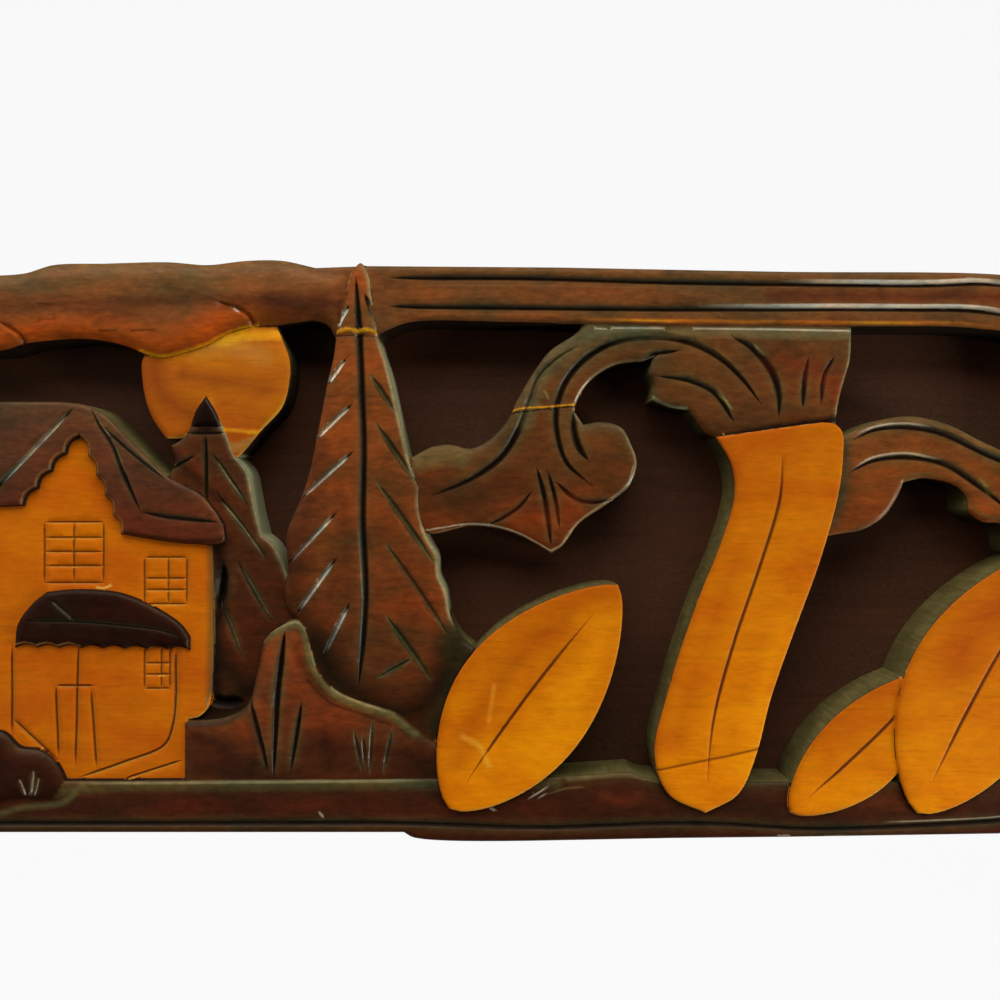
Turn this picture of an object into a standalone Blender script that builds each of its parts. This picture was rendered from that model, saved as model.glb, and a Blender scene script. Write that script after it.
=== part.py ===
"""Wooden wall plaque: one pierced and carved panel in front of a thin backing board.

The front looks along -Y, the back lies in the plane y = 0, and the origin is the middle of the back.
Outlines are drawn in millimetres as (x, z) seen from the front, x to the right and z up.
A level is the height of a carved surface in front of the panel's back, in millimetres.
"""
import math

import bmesh
import bpy
import numpy as np
from mathutils import Vector
from mathutils.geometry import delaunay_2d_cdt

MM = 0.001

# Driving dimensions in millimetres
BACKING_WIDTH = 427.0
BACKING_HEIGHT = 192.0
BACKING_CORNER = 22.0
BACKING_THICKNESS = 6.0
BACKING_EDGE = 0.8
BOARD_GAP = 0.3

BORDER_LEVEL = 18.0
CLOUD_LEVEL = 19.0
MOON_LEVEL = 16.0
FIR_TIP_LEVEL = 20.0
FIR_FOOT_LEVEL = 16.0
CONIFER_TIP_LEVEL = 17.4
CONIFER_FOOT_LEVEL = 13.0
HILL_LEVEL = 17.0
WALL_LEVEL = 15.5
ROOF_LEVEL = 18.0
AWNING_LEVEL = 17.5
BUSH_LEVEL = 18.8
SCROLL_LEVEL = 17.0
STROKE_LEVEL = 20.0
SMALL_STROKE_LEVEL = 19.2
MIDRIB_WIDTH = 1.7
MIDRIB_DEPTH = 0.7

# Fineness of the faceted model in millimetres
CURVE_STEP = 0.8
CURVE_TOLERANCE = 0.25
GROOVE_TOLERANCE = 0.2
STEP_RUN = 0.5
STEP_SLOPE = 8.0
WELD = 0.04
HIDDEN_BELOW = 1.2
FAR_BELOW = -1000.0
FADED = 0.02
STEEPEST_CUT = 0.48


def spline(points):
    """A smooth open curve through the points, sampled every CURVE_STEP."""
    if len(points) == 2:
        return [points[0], points[1]]
    knots = [np.array(p, float) for p in points]
    knots = [2 * knots[0] - knots[1]] + knots + [2 * knots[-1] - knots[-2]]
    places = []
    for a, b, c, d in zip(knots, knots[1:], knots[2:], knots[3:]):
        count = max(2, int(np.linalg.norm(c - b) / CURVE_STEP))
        tight = [math.sqrt(max(np.linalg.norm(q - p), 1e-6)) for p, q in ((a, b), (b, c), (c, d))]
        out_slope = (b - a) / tight[0] - (c - a) / (tight[0] + tight[1]) + (c - b) / tight[1]
        in_slope = (c - b) / tight[1] - (d - b) / (tight[1] + tight[2]) + (d - c) / tight[2]
        for i in range(count):
            t = i / count
            blend = (2 * t**3 - 3 * t**2 + 1, t**3 - 2 * t**2 + t, 3 * t**2 - 2 * t**3, t**3 - t**2)
            point = blend[0] * b + blend[1] * tight[1] * out_slope
            point = point + blend[2] * c + blend[3] * tight[1] * in_slope
            places.append(tuple(point))
    places.append(tuple(points[-1]))
    return places


def simplify(places, tolerance=CURVE_TOLERANCE):
    """Leave out the points of an open curve that lie within the tolerance of its chords."""
    first, last = np.array(places[0]), np.array(places[-1])
    chord = last - first
    length = np.linalg.norm(chord)
    rest = np.array(places) - first
    if length < 1e-9:
        off = np.linalg.norm(rest, axis=1)
    else:
        off = np.abs(rest[:, 0] * chord[1] - rest[:, 1] * chord[0]) / length
    far = int(np.argmax(off))
    if off[far] <= tolerance:
        return [places[0], places[-1]]
    return simplify(places[:far + 1], tolerance)[:-1] + simplify(places[far:], tolerance)


def outline(*runs):
    """A closed outline. It turns sharply only where one run of points meets the next."""
    loop = []
    for run, following in zip(runs, runs[1:] + runs[:1]):
        points = list(run)
        if points[-1] != following[0]:
            points.append(following[0])
        if len(points) > 1:
            loop += curve(*points)
    return loop


def curve(*points):
    """The points of a smooth curve without its last one, for joining to the next piece of an outline."""
    return simplify(spline(points))[:-1]


def bites(start, end, count, depth):
    """Points of a scalloped edge: arcs that bulge to the left of the way from start to end."""
    start, end = np.array(start, float), np.array(end, float)
    along = (end - start) / count
    left = np.array((-along[1], along[0])) / np.linalg.norm(along)
    points = []
    for i in range(count):
        for t in (0.0, 0.25, 0.5, 0.75):
            points.append(tuple(start + along * (i + t) + left * depth * math.sin(math.pi * t)))
    return points + [tuple(end)]


def leaf(base, tip, half_width, bend=0.0, count=18):
    """A leaf-shaped closed outline, pointed at its base and its tip."""
    left, right = [], []
    for i in range(count + 1):
        t = i / count
        middle, across = leaf_axis(base, tip, bend, t)
        width = half_width * math.sin(math.pi * t**0.9) ** 0.72
        left.append(tuple(middle + across * width))
        right.append(tuple(middle - across * width))
    return simplify(right)[:-1] + simplify(left[::-1])[:-1]


def leaf_axis(base, tip, bend, t):
    """The point at t on a leaf's bent axis, and the unit direction to its left."""
    base, tip = np.array(base, float), np.array(tip, float)
    along = tip - base
    left = np.array((-along[1], along[0])) / np.linalg.norm(along)
    return base + along * t + left * bend * math.sin(math.pi * t), left


class Groove:
    """A V-shaped cut along a curve, running out to nothing at its tapered ends."""

    def __init__(self, points, width=1.8, depth=1.3, tapers=(0.3, 0.3)):
        self.line = np.array(simplify(spline(points), GROOVE_TOLERANCE))
        self.half_width = width / 2
        self.depth = min(depth, STEEPEST_CUT * width)
        self.tapers = tapers
        steps = np.linalg.norm(np.diff(self.line, axis=0), axis=1)
        self.stations = np.concatenate(([0.0], np.cumsum(steps))) / steps.sum()

    def share(self, t):
        """How much of the full width and depth the cut has at t, from 0 to 1."""
        share = np.ones_like(t)
        if self.tapers[0]:
            share = np.minimum(share, np.sqrt(np.clip(t / self.tapers[0], FADED, 1)))
        if self.tapers[1]:
            share = np.minimum(share, np.sqrt(np.clip((1 - t) / self.tapers[1], FADED, 1)))
        return share

    def carve(self, points):
        """The depth that the cut takes away at each point."""
        away, t = distance_to_line(points, self.line, self.stations)
        share = self.share(t)
        return self.depth * share * np.clip(1 - away / (self.half_width * share), 0, 1)

    def guides(self):
        """Lines for the mesh to follow: the bottom of the cut and its two edges."""
        extra = [s for s in (0.0, self.tapers[0], 1 - self.tapers[1], 1.0) if 0 <= s <= 1]
        stations = np.unique(np.round(np.concatenate((self.stations, extra)), 4))
        bottom = np.stack([np.interp(stations, self.stations, self.line[:, i]) for i in (0, 1)], axis=1)
        ahead = np.gradient(bottom, axis=0)
        ahead /= np.linalg.norm(ahead, axis=1)[:, None]
        across = np.stack((-ahead[:, 1], ahead[:, 0]), axis=1)
        reach = (self.half_width * self.share(stations))[:, None]
        return [bottom, bottom + across * reach, bottom - across * reach]


class Form:
    """One carved form: its outline, the level of its face, how its edge falls, and its cuts."""

    def __init__(self, loops, level, edge=(1.2, 0.8), foot_level=None, honey=False, grooves=()):
        self.loops = [np.array(loop) for loop in loops]
        self.level = level
        self.foot_level = level if foot_level is None else foot_level
        self.edge_width, self.edge_drop = edge
        self.honey = honey
        self.grooves = list(grooves)
        everything = np.concatenate(self.loops)
        self.low = everything.min(axis=0)
        self.high = everything.max(axis=0)

    def inside(self, points):
        """Whether each point is in the form, by counting the outline's crossings."""
        odd = np.zeros(len(points), bool)
        x, z = points[:, 0], points[:, 1]
        for loop in self.loops:
            for (ax, az), (bx, bz) in zip(loop, np.roll(loop, -1, axis=0)):
                if az != bz:
                    crosses = (az > z) != (bz > z)
                    odd ^= crosses & (x < ax + (z - az) * (bx - ax) / (bz - az))
        return odd

    def height(self, points):
        """The level of the form's surface at each point, far below the panel outside it."""
        top = np.full(len(points), FAR_BELOW)
        margin = STEP_SLOPE * STEP_RUN
        near = np.all((points > self.low - margin) & (points < self.high + margin), axis=1)
        some = points[near]
        if not len(some):
            return top
        away = np.min([distance_to_line(some, closed(loop))[0] for loop in self.loops], axis=0)
        inside = self.inside(some)
        rise = (some[:, 1] - self.low[1]) / (self.high[1] - self.low[1])
        level = self.foot_level + (self.level - self.foot_level) * np.clip(rise, 0, 1)
        short = 1 - np.clip(away / self.edge_width, 0, 1)
        surface = level - self.edge_drop * short**2
        for groove in self.grooves:
            surface = surface - groove.carve(some)
        outside = level - self.edge_drop - STEP_SLOPE * away
        top[near] = np.where(inside, surface, outside)
        return top

    def beside(self, inward):
        """The outline moved into the form, or out of it where inward is negative."""
        return [offset(loop, inward, self.loops[0] is not loop) for loop in self.loops]


def distance_to_line(points, line, stations=None):
    """Distance from each point to an open line of points, and how far along it the nearest place is."""
    best = np.full(len(points), 1e9)
    place = np.zeros(len(points))
    if stations is None:
        stations = np.linspace(0, 1, len(line))
    for a, b, s, e in zip(line, line[1:], stations, stations[1:]):
        ab = b - a
        t = np.clip(((points - a) @ ab) / max(ab @ ab, 1e-12), 0, 1)
        away = np.linalg.norm(points - a - t[:, None] * ab, axis=1)
        closer = away < best
        best[closer] = away[closer]
        place[closer] = (s + (e - s) * t)[closer]
    return best, place


def closed(loop):
    return np.vstack((loop, loop[:1]))


def offset(loop, inward, is_hole=False):
    """A closed line moved sideways: inward is into the material, for an outline or a hole in it."""
    ahead = np.roll(loop, -1, axis=0) - loop
    ahead /= np.linalg.norm(ahead, axis=1)[:, None]
    behind = np.roll(ahead, 1, axis=0)
    turn = loop[:, 0] * np.roll(loop[:, 1], -1) - loop[:, 1] * np.roll(loop[:, 0], -1)
    side = 1 if (turn.sum() > 0) != is_hole else -1
    across = np.stack((-(ahead + behind)[:, 1], (ahead + behind)[:, 0]), axis=1)
    size = np.maximum(np.linalg.norm(across, axis=1), 0.7)
    across = across / size[:, None] ** 2 * 2
    return loop + side * inward * across


def straight(*ends, width=1.5, depth=0.6):
    """Straight cuts between pairs of points."""
    return [Groove((a, b), width, depth, (0.12, 0.12)) for a, b in ends]


# Border, with its moulded grooves
def border():
    outer = outline(
        [(-216.5, 94)],
        [(-47, 100.5)],
        [(21, 100), (100, 98.5), (176, 97.5), (197, 94.5), (210, 85), (216, 68)],
        [(216, 68)],
        [(216.5, -66), (210, -86), (197, -96.5), (176, -100)],
        [(176, -100), (70, -101.5), (-30, -101.5)],
        [(-34, -99.5)],
        [(-203, -99.5), (-213, -95.5), (-216.5, -86)],
    )
    inner = outline(
        [(-208.5, 84)],
        [(-52, 84)],
        [(-45, 75), (-40, 77.5), (-31.5, 80.5)],
        [(7, 80.5), (53, 79.5), (125, 79), (165, 78.5), (186, 75), (196, 65), (199, 52)],
        [(199, -52), (197, -68), (188, -78)],
        [(188, -78), (175, -80), (51, -80)],
        [(46, -78), (22, -79.5)],
        [(-24, -80.5)],
        [(-208.5, -81.5)],
    )
    outer_groove = [
        (-38.5, 96), (7, 96), (60, 94.5), (150, 93.5), (172, 94), (192, 91), (205, 83), (211, 68),
        (211.5, 0), (211.5, -66), (205, -83), (193, -92), (176, -95), (152, -96.5), (112, -98),
        (70, -96), (12, -97.5), (-35, -96), (-100, -96), (-203, -96),
    ]
    inner_groove = [
        (-38.5, 86), (7, 85.5), (60, 85), (140, 85), (172, 84), (192, 79), (202, 68), (205, 50), (205, -40),
    ]
    grooves = [Groove(outer_groove, 2.8, 1.3, (0.02, 0.02)), Groove(inner_groove, 2.8, 1.3, (0.03, 0.15))]
    return Form([outer, inner], BORDER_LEVEL, (1.6, 1.0), grooves=grooves)


# Cloud, moon, small conifer and tall fir
def cloud():
    loop = outline(
        [(-216, 95), (-205.5, 99), (-193, 99.5), (-182.5, 97.5), (-168.5, 98), (-158, 101), (-140, 101.5),
         (-117.5, 102), (-103.5, 101), (-89.5, 102.5), (-77, 102.5), (-62.5, 99.5), (-53, 99.5)],
        [(-51.5, 99.5)],
        [(-53.5, 85)],
        [(-56.5, 75.5)],
        [(-58.5, 75.5), (-60.5, 79), (-65.5, 81), (-71, 80.5), (-79, 79.5), (-88, 79)],
        [(-88, 79), (-95, 77), (-103.5, 72.5), (-112.5, 69.5), (-119.5, 68), (-124.5, 69), (-133.5, 72.5),
         (-144, 74.5), (-154.5, 74.5), (-168.5, 73)],
        [(-168.5, 73), (-174, 71), (-186, 70), (-196.5, 72.5), (-207, 73.5), (-216, 72.5)],
    )
    curls = [
        Groove([(-99, 87.5), (-92.5, 85), (-88.5, 82.5), (-87, 78.5)], 2.6, 1.2, (0.4, 0.05)),
        Groove([(-176, 80.5), (-172, 78), (-169, 75.5), (-168, 72.5)], 2.6, 1.2, (0.3, 0.05)),
    ]
    return Form([loop], CLOUD_LEVEL, (6.0, 2.6), grooves=curls)


def moon():
    loop = outline(
        [(-79.5, 80), (-76.5, 73.5), (-74.5, 67.5), (-74.5, 60.5), (-77, 51), (-84.5, 42.5), (-93.5, 32.5)],
        [(-101, 30)],
        [(-109, 41), (-113.5, 39.5), (-118.5, 39.5)],
        [(-118.5, 39.5), (-123, 46), (-125.5, 52), (-127, 60.5), (-127, 67.5), (-122, 74.5)],
        [(-101, 85)],
    )
    return Form([loop], MOON_LEVEL, (2.5, 0.9), honey=True)


def conifer():
    loop = outline(
        [(-104, 54.5), (-101.5, 50.5), (-98.5, 45)],
        [(-98.5, 45), (-96.5, 40.5), (-94, 34), (-89.5, 28), (-88, 21.5), (-86.5, 13.5), (-84.5, 5.5)],
        [(-84.5, 5.5), (-80.5, 2), (-75.5, -9)],
        [(-71, -26.5)],
        [(-85.5, -65.5)],
        [(-110, -65.5)],
        [(-108, -52)],
        [(-103, -42)],
        [(-103, 10.5)],
        [(-118, 25.5), (-115, 31.5), (-116.5, 37)],
        [(-116.5, 37), (-112.5, 39.5), (-110, 43)],
        [(-110, 43), (-107.5, 49.5), (-104, 54.5)],
    )
    cuts = [
        [(-104, 40.5), (-104, 16)],
        [(-101.5, 34), (-89.5, 16)],
        [(-100.5, 20.5), (-92.5, 10), (-83, -3)],
        [(-93, -4), (-87, -15), (-81, -25.5)],
        [(-99.5, -17.5), (-95.5, -27.5), (-92, -37.5)],
        [(-117, 28.5), (-108, 33.5)],
        [(-110, 44), (-98, 44)],
        [(-110.5, 41.5), (-97.5, 41.5)],
    ]
    hollows = [
        Groove([(-98, -5), (-98.5, -12), (-100, -21)], 5.0, 6.0, (0.3, 0.3)),
        Groove([(-104, -53), (-98, -54.5), (-91, -54)], 5.0, 6.0, (0.2, 0.3)),
    ]
    grooves = [Groove(cut, 2.0, 0.9) for cut in cuts] + hollows
    return Form([loop], CONIFER_TIP_LEVEL, (2.0, 0.9), CONIFER_FOOT_LEVEL, grooves=grooves)


def fir():
    loop = outline(
        [(-54, 89), (-57.5, 77.5), (-58.5, 69), (-61, 58.5), (-63.5, 46),
         (-67, 29), (-70.5, 18), (-73.5, 11.5), (-75.5, 5.5), (-75, -8)],
        [(-75, -8), (-76.5, -14), (-75, -21), (-71.5, -26)],
        [(-63.5, -56.5)],
        [(-35.5, -73)],
        [(-10.5, -66)],
        [(-8, -35), (-13.5, -30.5), (-17.5, -23), (-19, -14.5), (-21.5, -8.5), (-22, -2), (-26, 5.5),
         (-28.5, 14.5), (-28.5, 22.5)],
        [(-28.5, 22.5), (-31.5, 30), (-34, 40.5), (-36.5, 52), (-39, 63), (-42.5, 74), (-45, 88.5),
         (-46.3, 97.5), (-49, 101.2), (-52.2, 97.5), (-54, 89)],
    )
    midrib = [
        (-50.5, 96), (-49.5, 78.5), (-48.5, 53), (-48, 35.5), (-48.5, 11), (-47.5, -14), (-48.5, -31.5),
        (-50, -47.5),
    ]
    left_cuts = [
        [(-53, 86), (-57.5, 78)],
        [(-54, 67.5), (-60.5, 58.5)],
        [(-52, 51.5), (-65, 39)],
        [(-51.5, 35), (-70.5, 18)],
        [(-57.5, 13.5), (-75, -5)],
        [(-57.5, -2.5), (-72, -22.5)],
        [(-53, -18.5), (-62.5, -37.5)],
    ]
    right_cuts = [
        [(-47.5, 90), (-42.5, 78.5)],
        [(-45, 61), (-37.5, 49.5)],
        [(-43.5, 44.5), (-29, 23)],
        [(-42.5, 23), (-23.5, -4)],
        [(-40, 2), (-18.5, -29.5)],
        [(-40, -23.5), (-24.5, -45.5)],
        [(-43, -45), (-31.5, -38.5)],
    ]
    grooves = [Groove(midrib, 3.6, 1.5, (0.12, 0.12))]
    grooves += [Groove(cut, 2.7, 1.2) for cut in left_cuts + right_cuts]
    return Form([loop], FIR_TIP_LEVEL, (3.0, 1.5), FIR_FOOT_LEVEL, grooves=grooves)


# Ground: the hill in front of the fir and the bush at the lower left
def hill():
    loop = outline(
        [(-112, -60.5), (-97, -59), (-89.5, -54.5), (-86, -42), (-83.5, -31.5), (-76.5, -26), (-70.5, -24),
         (-67, -29), (-64.5, -40), (-58, -48.5), (-48.5, -53), (-37, -56.5), (-29.5, -62.5), (-24, -66.5)],
        [(-24, -66.5)],
        [(-8, -70)],
        [(-8, -85)],
        [(-112, -85)],
    )
    blades = [
        Groove([(-76, -29), (-78.5, -49), (-80, -80)], 3.4, 2.2, (0.2, 0.5)),
        Groove([(-88.5, -52), (-82, -78)], 2.4, 1.1),
        Groove([(-70, -53.5), (-74, -78)], 2.4, 1.1),
    ]
    grass = [
        [(-51.5, -64), (-49, -77)],
        [(-48.5, -65), (-47.5, -77)],
        [(-45, -60.5), (-46, -78)],
        [(-38, -63.5), (-41, -77.5)],
    ]
    grooves = blades + [Groove(blade, 1.7, 0.8) for blade in grass]
    return Form([loop], HILL_LEVEL, (3.2, 1.8), grooves=grooves)


def bush():
    loop = outline(
        [(-200.5, -87.5), (-197, -75.5), (-186.5, -66), (-176, -64), (-169.5, -69.5), (-162.5, -70.5),
         (-157, -74.5), (-153.5, -83.5), (-157.5, -88.5), (-167, -88.5), (-174, -89.5), (-184.5, -92),
         (-195, -92)],
        [(-200.5, -87.5)],
    )
    ticks = [[(-169, -80), (-166.5, -86)], [(-164, -77), (-164.5, -85)], [(-162, -79.5), (-163.5, -86)]]
    return Form([loop], BUSH_LEVEL, (4.0, 1.6), grooves=[Groove(tick, 1.4, 0.6) for tick in ticks])


# House: walls, scalloped roof and awning
def window(left, right, bottom, top, mullion, bars):
    """The cuts of a small window: its frame, its upright and its bars."""
    ends = [((left, bottom), (left, top)), ((right, bottom), (right, top))]
    ends += [((left, z), (right, z)) for z in (bottom, top)]
    ends += [((mullion, bottom), (mullion, top))]
    ends += [((left, z), (right, z)) for z in bars]
    return straight(*ends, width=1.3, depth=0.5)


def house_wall():
    loop = outline(
        [(-200.5, 19.5)],
        [(-200.5, -86.5)],
        [(-110.5, -86.5)],
        [(-110.5, -60), (-106.5, -59), (-103, -55), (-102, -46), (-101.5, -17.5), (-102, 18)],
        [(-102, 18)],
        [(-126, 20)],
        [(-149, 46)],
        [(-174, 19.5)],
    )
    cuts = window(-161.5, -140.5, -11.5, 10, -151, (4.5, -0.5, -5.5))
    cuts += window(-126, -111, -19, -2.5, -117.5, (-10, -14))
    cuts += window(-126, -117, -49, -34, -120, (-40, -44))
    cuts += straight(
        ((-173, -34), (-173, -65)),
        ((-149.5, -34), (-150.5, -76.5)),
        ((-157.5, -48), (-156.5, -73)),
        ((-157.5, -48), (-144, -48)),
        ((-145, -49.5), (-143, -77)),
        ((-113, -74.5), (-133, -81)),
        ((-172.5, -60), (-156.5, -75)),
    )
    porch_line = [(-115, -36), (-115, -53), (-116, -62), (-119, -69), (-133, -75), (-149, -80.5)]
    cuts += [Groove(porch_line, 1.7, 0.7, (0.05, 0.1))]
    return Form([loop], WALL_LEVEL, (1.0, 0.5), honey=True, grooves=cuts)


def roof():
    loop = [(-189.5, 52.5)]
    loop += curve((-155, 52.5), (-147, 51.5), (-141, 49), (-130.5, 39), (-117, 26), (-106, 20),
                  (-100.5, 14), (-97.5, 9))
    loop += curve((-97.5, 9), (-97.5, 3), (-109, 2.5), (-119.5, 3.5), (-134, 6))
    loop += bites((-134, 6), (-148.5, 40.5), 5, -1.4)[:-1]
    loop += bites((-148.5, 40.5), (-168.5, 16), 4, -1.4)
    loop += [(-210, 14.5)]
    grooves = [
        Groove([(-150.5, 50), (-163.5, 36), (-179, 20.5)], 2.5, 1.2, (0.2, 0.1)),
        Groove([(-144, 50), (-141, 44), (-136.5, 37), (-132.5, 26.5), (-126.5, 13.5)], 2.2, 1.0),
        Groove([(-140, 43.5), (-128.5, 33.5), (-118, 25)], 2.0, 0.9),
        Groove([(-126, 13.5), (-118, 12), (-99.5, 10)], 2.4, 1.1),
    ]
    return Form([loop], ROOF_LEVEL, (1.6, 0.9), grooves=grooves)


def awning():
    loop = curve((-171.5, -34), (-170.5, -26), (-165.5, -19), (-160.5, -15))
    loop += curve((-160.5, -15), (-150, -14), (-135.5, -15), (-123.5, -19.5), (-113.5, -26), (-110, -30.5))
    loop += [(-110, -30.5)]
    loop += bites((-110, -35), (-171.5, -34), 8, -1.0)[:-1]
    folds = [
        Groove([(-166.5, -25), (-150, -25), (-132, -26.5), (-120, -28),
                (-113, -30.5)], 1.6, 0.7, (0.1, 0.1)),
        Groove([(-158.5, -17.5), (-150, -25)], 1.6, 0.7),
    ]
    return Form([loop], AWNING_LEVEL, (1.8, 0.9), grooves=folds)


# Scrollwork: the scroll that runs on into the plume, and the one at the right
def acanthus():
    loop = outline(
        [(-32, 32.5), (-24.5, 36.5), (-17.5, 37.5), (-10.5, 36), (-4, 39), (2, 45), (6.5, 54), (11.5, 62.5),
         (17.5, 70.5), (28, 78)],
        [(30, 83)],
        [(124.5, 83)],
        [(124.5, 76), (124, 67.5), (120.5, 55), (119, 46)],
        [(119, 44)],
        [(79, 37.5)],
        [(75, 40), (72.5, 41.5), (69.5, 45.5), (66.5, 49.5)],
        [(66.5, 49.5), (60, 50.5), (53.5, 53)],
        [(53.5, 53), (54.5, 58.5), (53, 63.5), (54.5, 68.5)],
        [(54.5, 68.5), (50.5, 67)],
        [(50.5, 67), (40.5, 65.5), (32, 60), (27, 52), (26.5, 49)],
        [(26.5, 49), (29.5, 44.5)],
        [(29.5, 44.5), (36, 45.5), (43, 43.5), (46.5, 37.5), (48.5, 31), (46, 23), (39, 17)],
        [(39, 17), (28, 9.5), (22, 1.5), (18, -1)],
        [(18, -1), (13.5, 1.5), (7, 5), (-0.5, 7.5), (-10.5, 8.5), (-26, 6)],
        [(-30, 11)],
    )
    stem = [(-23.5, 19.5), (-10.5, 25), (0.5, 33), (7, 43.5), (10.5, 52.5), (14, 61.5), (20.5, 68),
            (27, 72)]
    sweep = [(32, 23), (23.5, 31), (20, 42), (20, 50.5), (23.5, 60), (30, 67.5), (40.5, 73.5), (54.5, 75.5),
             (67, 73.5), (77.5, 68), (86, 60), (92, 52)]
    lines = [
        (stem, 3.6, 1.7),
        (sweep, 3.5, 1.7),
        ([(49.5, 67), (55, 69.5), (63, 70.5)], 2.4, 1.1),
        ([(26, 49.5), (26, 42.5), (28, 36), (31, 32)], 3.4, 1.6),
        ([(11, 20.5), (7, 15.5), (2, 12), (-4, 9)], 2.4, 1.1),
        ([(13, 29), (15, 21.5), (16.5, 13.5), (18, 2)], 2.7, 1.3),
        ([(17, 27.5), (19.5, 18), (21, 8)], 2.2, 1.0),
        ([(20, 24), (26, 18.5), (32.5, 17), (40, 18)], 2.5, 1.2),
        ([(56, 61.5), (67, 60), (76, 55.5), (82.5, 45.5)], 2.7, 1.3),
        ([(82, 75.5), (89, 71.5), (96, 63), (98.5, 55), (98.5, 47.5)], 3.3, 1.5),
        ([(109, 68), (107.5, 59.5), (107, 50.5)], 2.6, 1.2),
        ([(118, 68.5), (114.5, 61), (113.5, 52)], 2.6, 1.2),
    ]
    return Form([loop], SCROLL_LEVEL, (2.6, 1.3), grooves=[Groove(*line) for line in lines])


def right_scroll():
    loop = outline(
        [(115, 38), (123, 41.5), (134, 46), (146.5, 47.5), (159, 44.5), (171, 38.5), (187, 31.5),
         (201, 26)],
        [(207, 11)],
        [(201, -3.5)],
        [(188, -4), (182, -1), (180.5, 5.5), (176.5, 9.5), (171, 10), (166, 13.5), (165, 19), (160.5, 23),
         (150, 25.5), (143, 24)],
        [(143, 24), (140.5, 18.5), (136, 12), (129, 7.5), (122, 6), (111, 6)],
    )
    lines = [
        ([(124.5, 39), (132.5, 42.5), (143, 43.5), (155.5, 41.5), (169.5, 35), (183.5, 28),
          (192, 17)], 2.9, 1.4),
        ([(123.5, 27.5), (131.5, 31.5), (143, 33), (157, 30.5), (169.5, 22.5), (180, 14)], 3.1, 1.4),
        ([(188, 20), (190, 10), (190, 2)], 2.4, 1.1),
        ([(198, 20), (197, 8)], 2.4, 1.1),
    ]
    return Form([loop], SCROLL_LEVEL, (2.6, 1.3), grooves=[Groove(*line) for line in lines])


# Row of raised slanted strokes: long and short leaves, each with a fine midrib
def leaf_midrib(base, tip, bend):
    """The fine cut along a leaf's bent axis."""
    axis = [tuple(leaf_axis(base, tip, bend, t)[0]) for t in (0.12, 0.3, 0.5, 0.7, 0.86)]
    return Groove(axis, MIDRIB_WIDTH, MIDRIB_DEPTH)


def strokes():
    """The first, third and fourth strokes by base, tip, half width, bend and level, and the tall one."""
    shapes = [
        ((-18, -90.5), (41.5, -12), 24.5, 2.0, STROKE_LEVEL),
        ((102, -92), (154, -42), 15.0, -1.5, SMALL_STROKE_LEVEL),
        ((146, -92), (198, 2), 26.0, 2.0, STROKE_LEVEL),
    ]
    forms = []
    for base, tip, half_width, bend, level in shapes:
        midrib = leaf_midrib(base, tip, bend)
        loop = leaf(base, tip, half_width, bend)
        forms.append(Form([loop], level, (1.2, 0.6), honey=True, grooves=[midrib]))
    return forms + [tall_stroke()]


def tall_stroke():
    loop = outline(
        [(75.5, 40)],
        [(113, 45.2), (117.5, 44.6), (120.2, 41.5), (120.5, 35), (119, 21), (112.5, -3), (103, -29),
         (95, -52), (90, -71.5), (83.5, -85.5), (72, -92)],
        [(72, -92), (59, -85.5), (54, -71.5), (59, -48.5), (68.5, -19), (77, 2), (82, 19.5), (81, 30),
         (75.5, 40)],
    )
    axis = [(99, 33), (98, 18), (91.5, -4), (82, -32), (75, -58), (72.5, -80)]
    midrib = Groove(axis, MIDRIB_WIDTH, MIDRIB_DEPTH, (0.15, 0.3))
    return Form([loop], STROKE_LEVEL, (1.2, 0.6), honey=True, grooves=[midrib])


def all_forms():
    forms = [border(), cloud(), moon(), conifer(), fir(), hill(), bush()]
    forms += [house_wall(), roof(), awning(), acanthus(), right_scroll()]
    return forms + strokes()


class Panel:
    """The carved surface that the forms make together."""

    def __init__(self):
        self.forms = all_forms()

    def heights(self, points):
        return np.array([form.height(points) for form in self.forms])

    def surface(self, points):
        return self.heights(points).max(axis=0)

    def honey(self, points):
        """Whether the highest form at each point is one of the honey-coloured ones."""
        highest = self.heights(points).argmax(axis=0)
        return np.array([form.honey for form in self.forms])[highest]

    def solid(self, points):
        """Whether each point is on the wood and not in a pierced opening."""
        return np.any([form.inside(points) for form in self.forms], axis=0)

    def on_top(self, line, form):
        """Whether the form is the highest one at each point of a line."""
        heights = self.heights(line)
        own = heights[self.forms.index(form)]
        return own >= heights.max(axis=0) - HIDDEN_BELOW - form.edge_drop

    def guide_lines(self):
        """Every line that the mesh follows, and which of its points are kept."""
        lines = []
        for form in self.forms:
            for loop in map(closed, form.loops):
                lines.append((loop, np.ones(len(loop), bool)))
            for loop in map(closed, form.beside(form.edge_width)):
                lines.append((loop, self.on_top(loop, form)))
            for loop in map(closed, form.beside(-STEP_RUN)):
                lines.append((loop, self.solid(loop)))
            for groove in form.grooves:
                for line in groove.guides():
                    lines.append((line, form.inside(line) & self.on_top(line, form)))
        return lines


def triangulate(points, edges):
    """Triangles between the points that keep every edge, with points added where edges cross."""
    vectors = [Vector((float(x), float(z))) for x, z in points]
    out = delaunay_2d_cdt(vectors, edges, [], 0, WELD)
    places = np.array([tuple(v) for v in out[0]])
    triangles = np.array([face for face in out[2] if len(face) == 3])
    return places, triangles, out[3]


def rim_edges(triangles):
    """The directed edges that only one triangle has."""
    seen = {}
    for a, b, c in triangles:
        for edge in ((a, b), (b, c), (c, a)):
            seen[edge] = True
    return [edge for edge in seen if (edge[1], edge[0]) not in seen]


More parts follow.
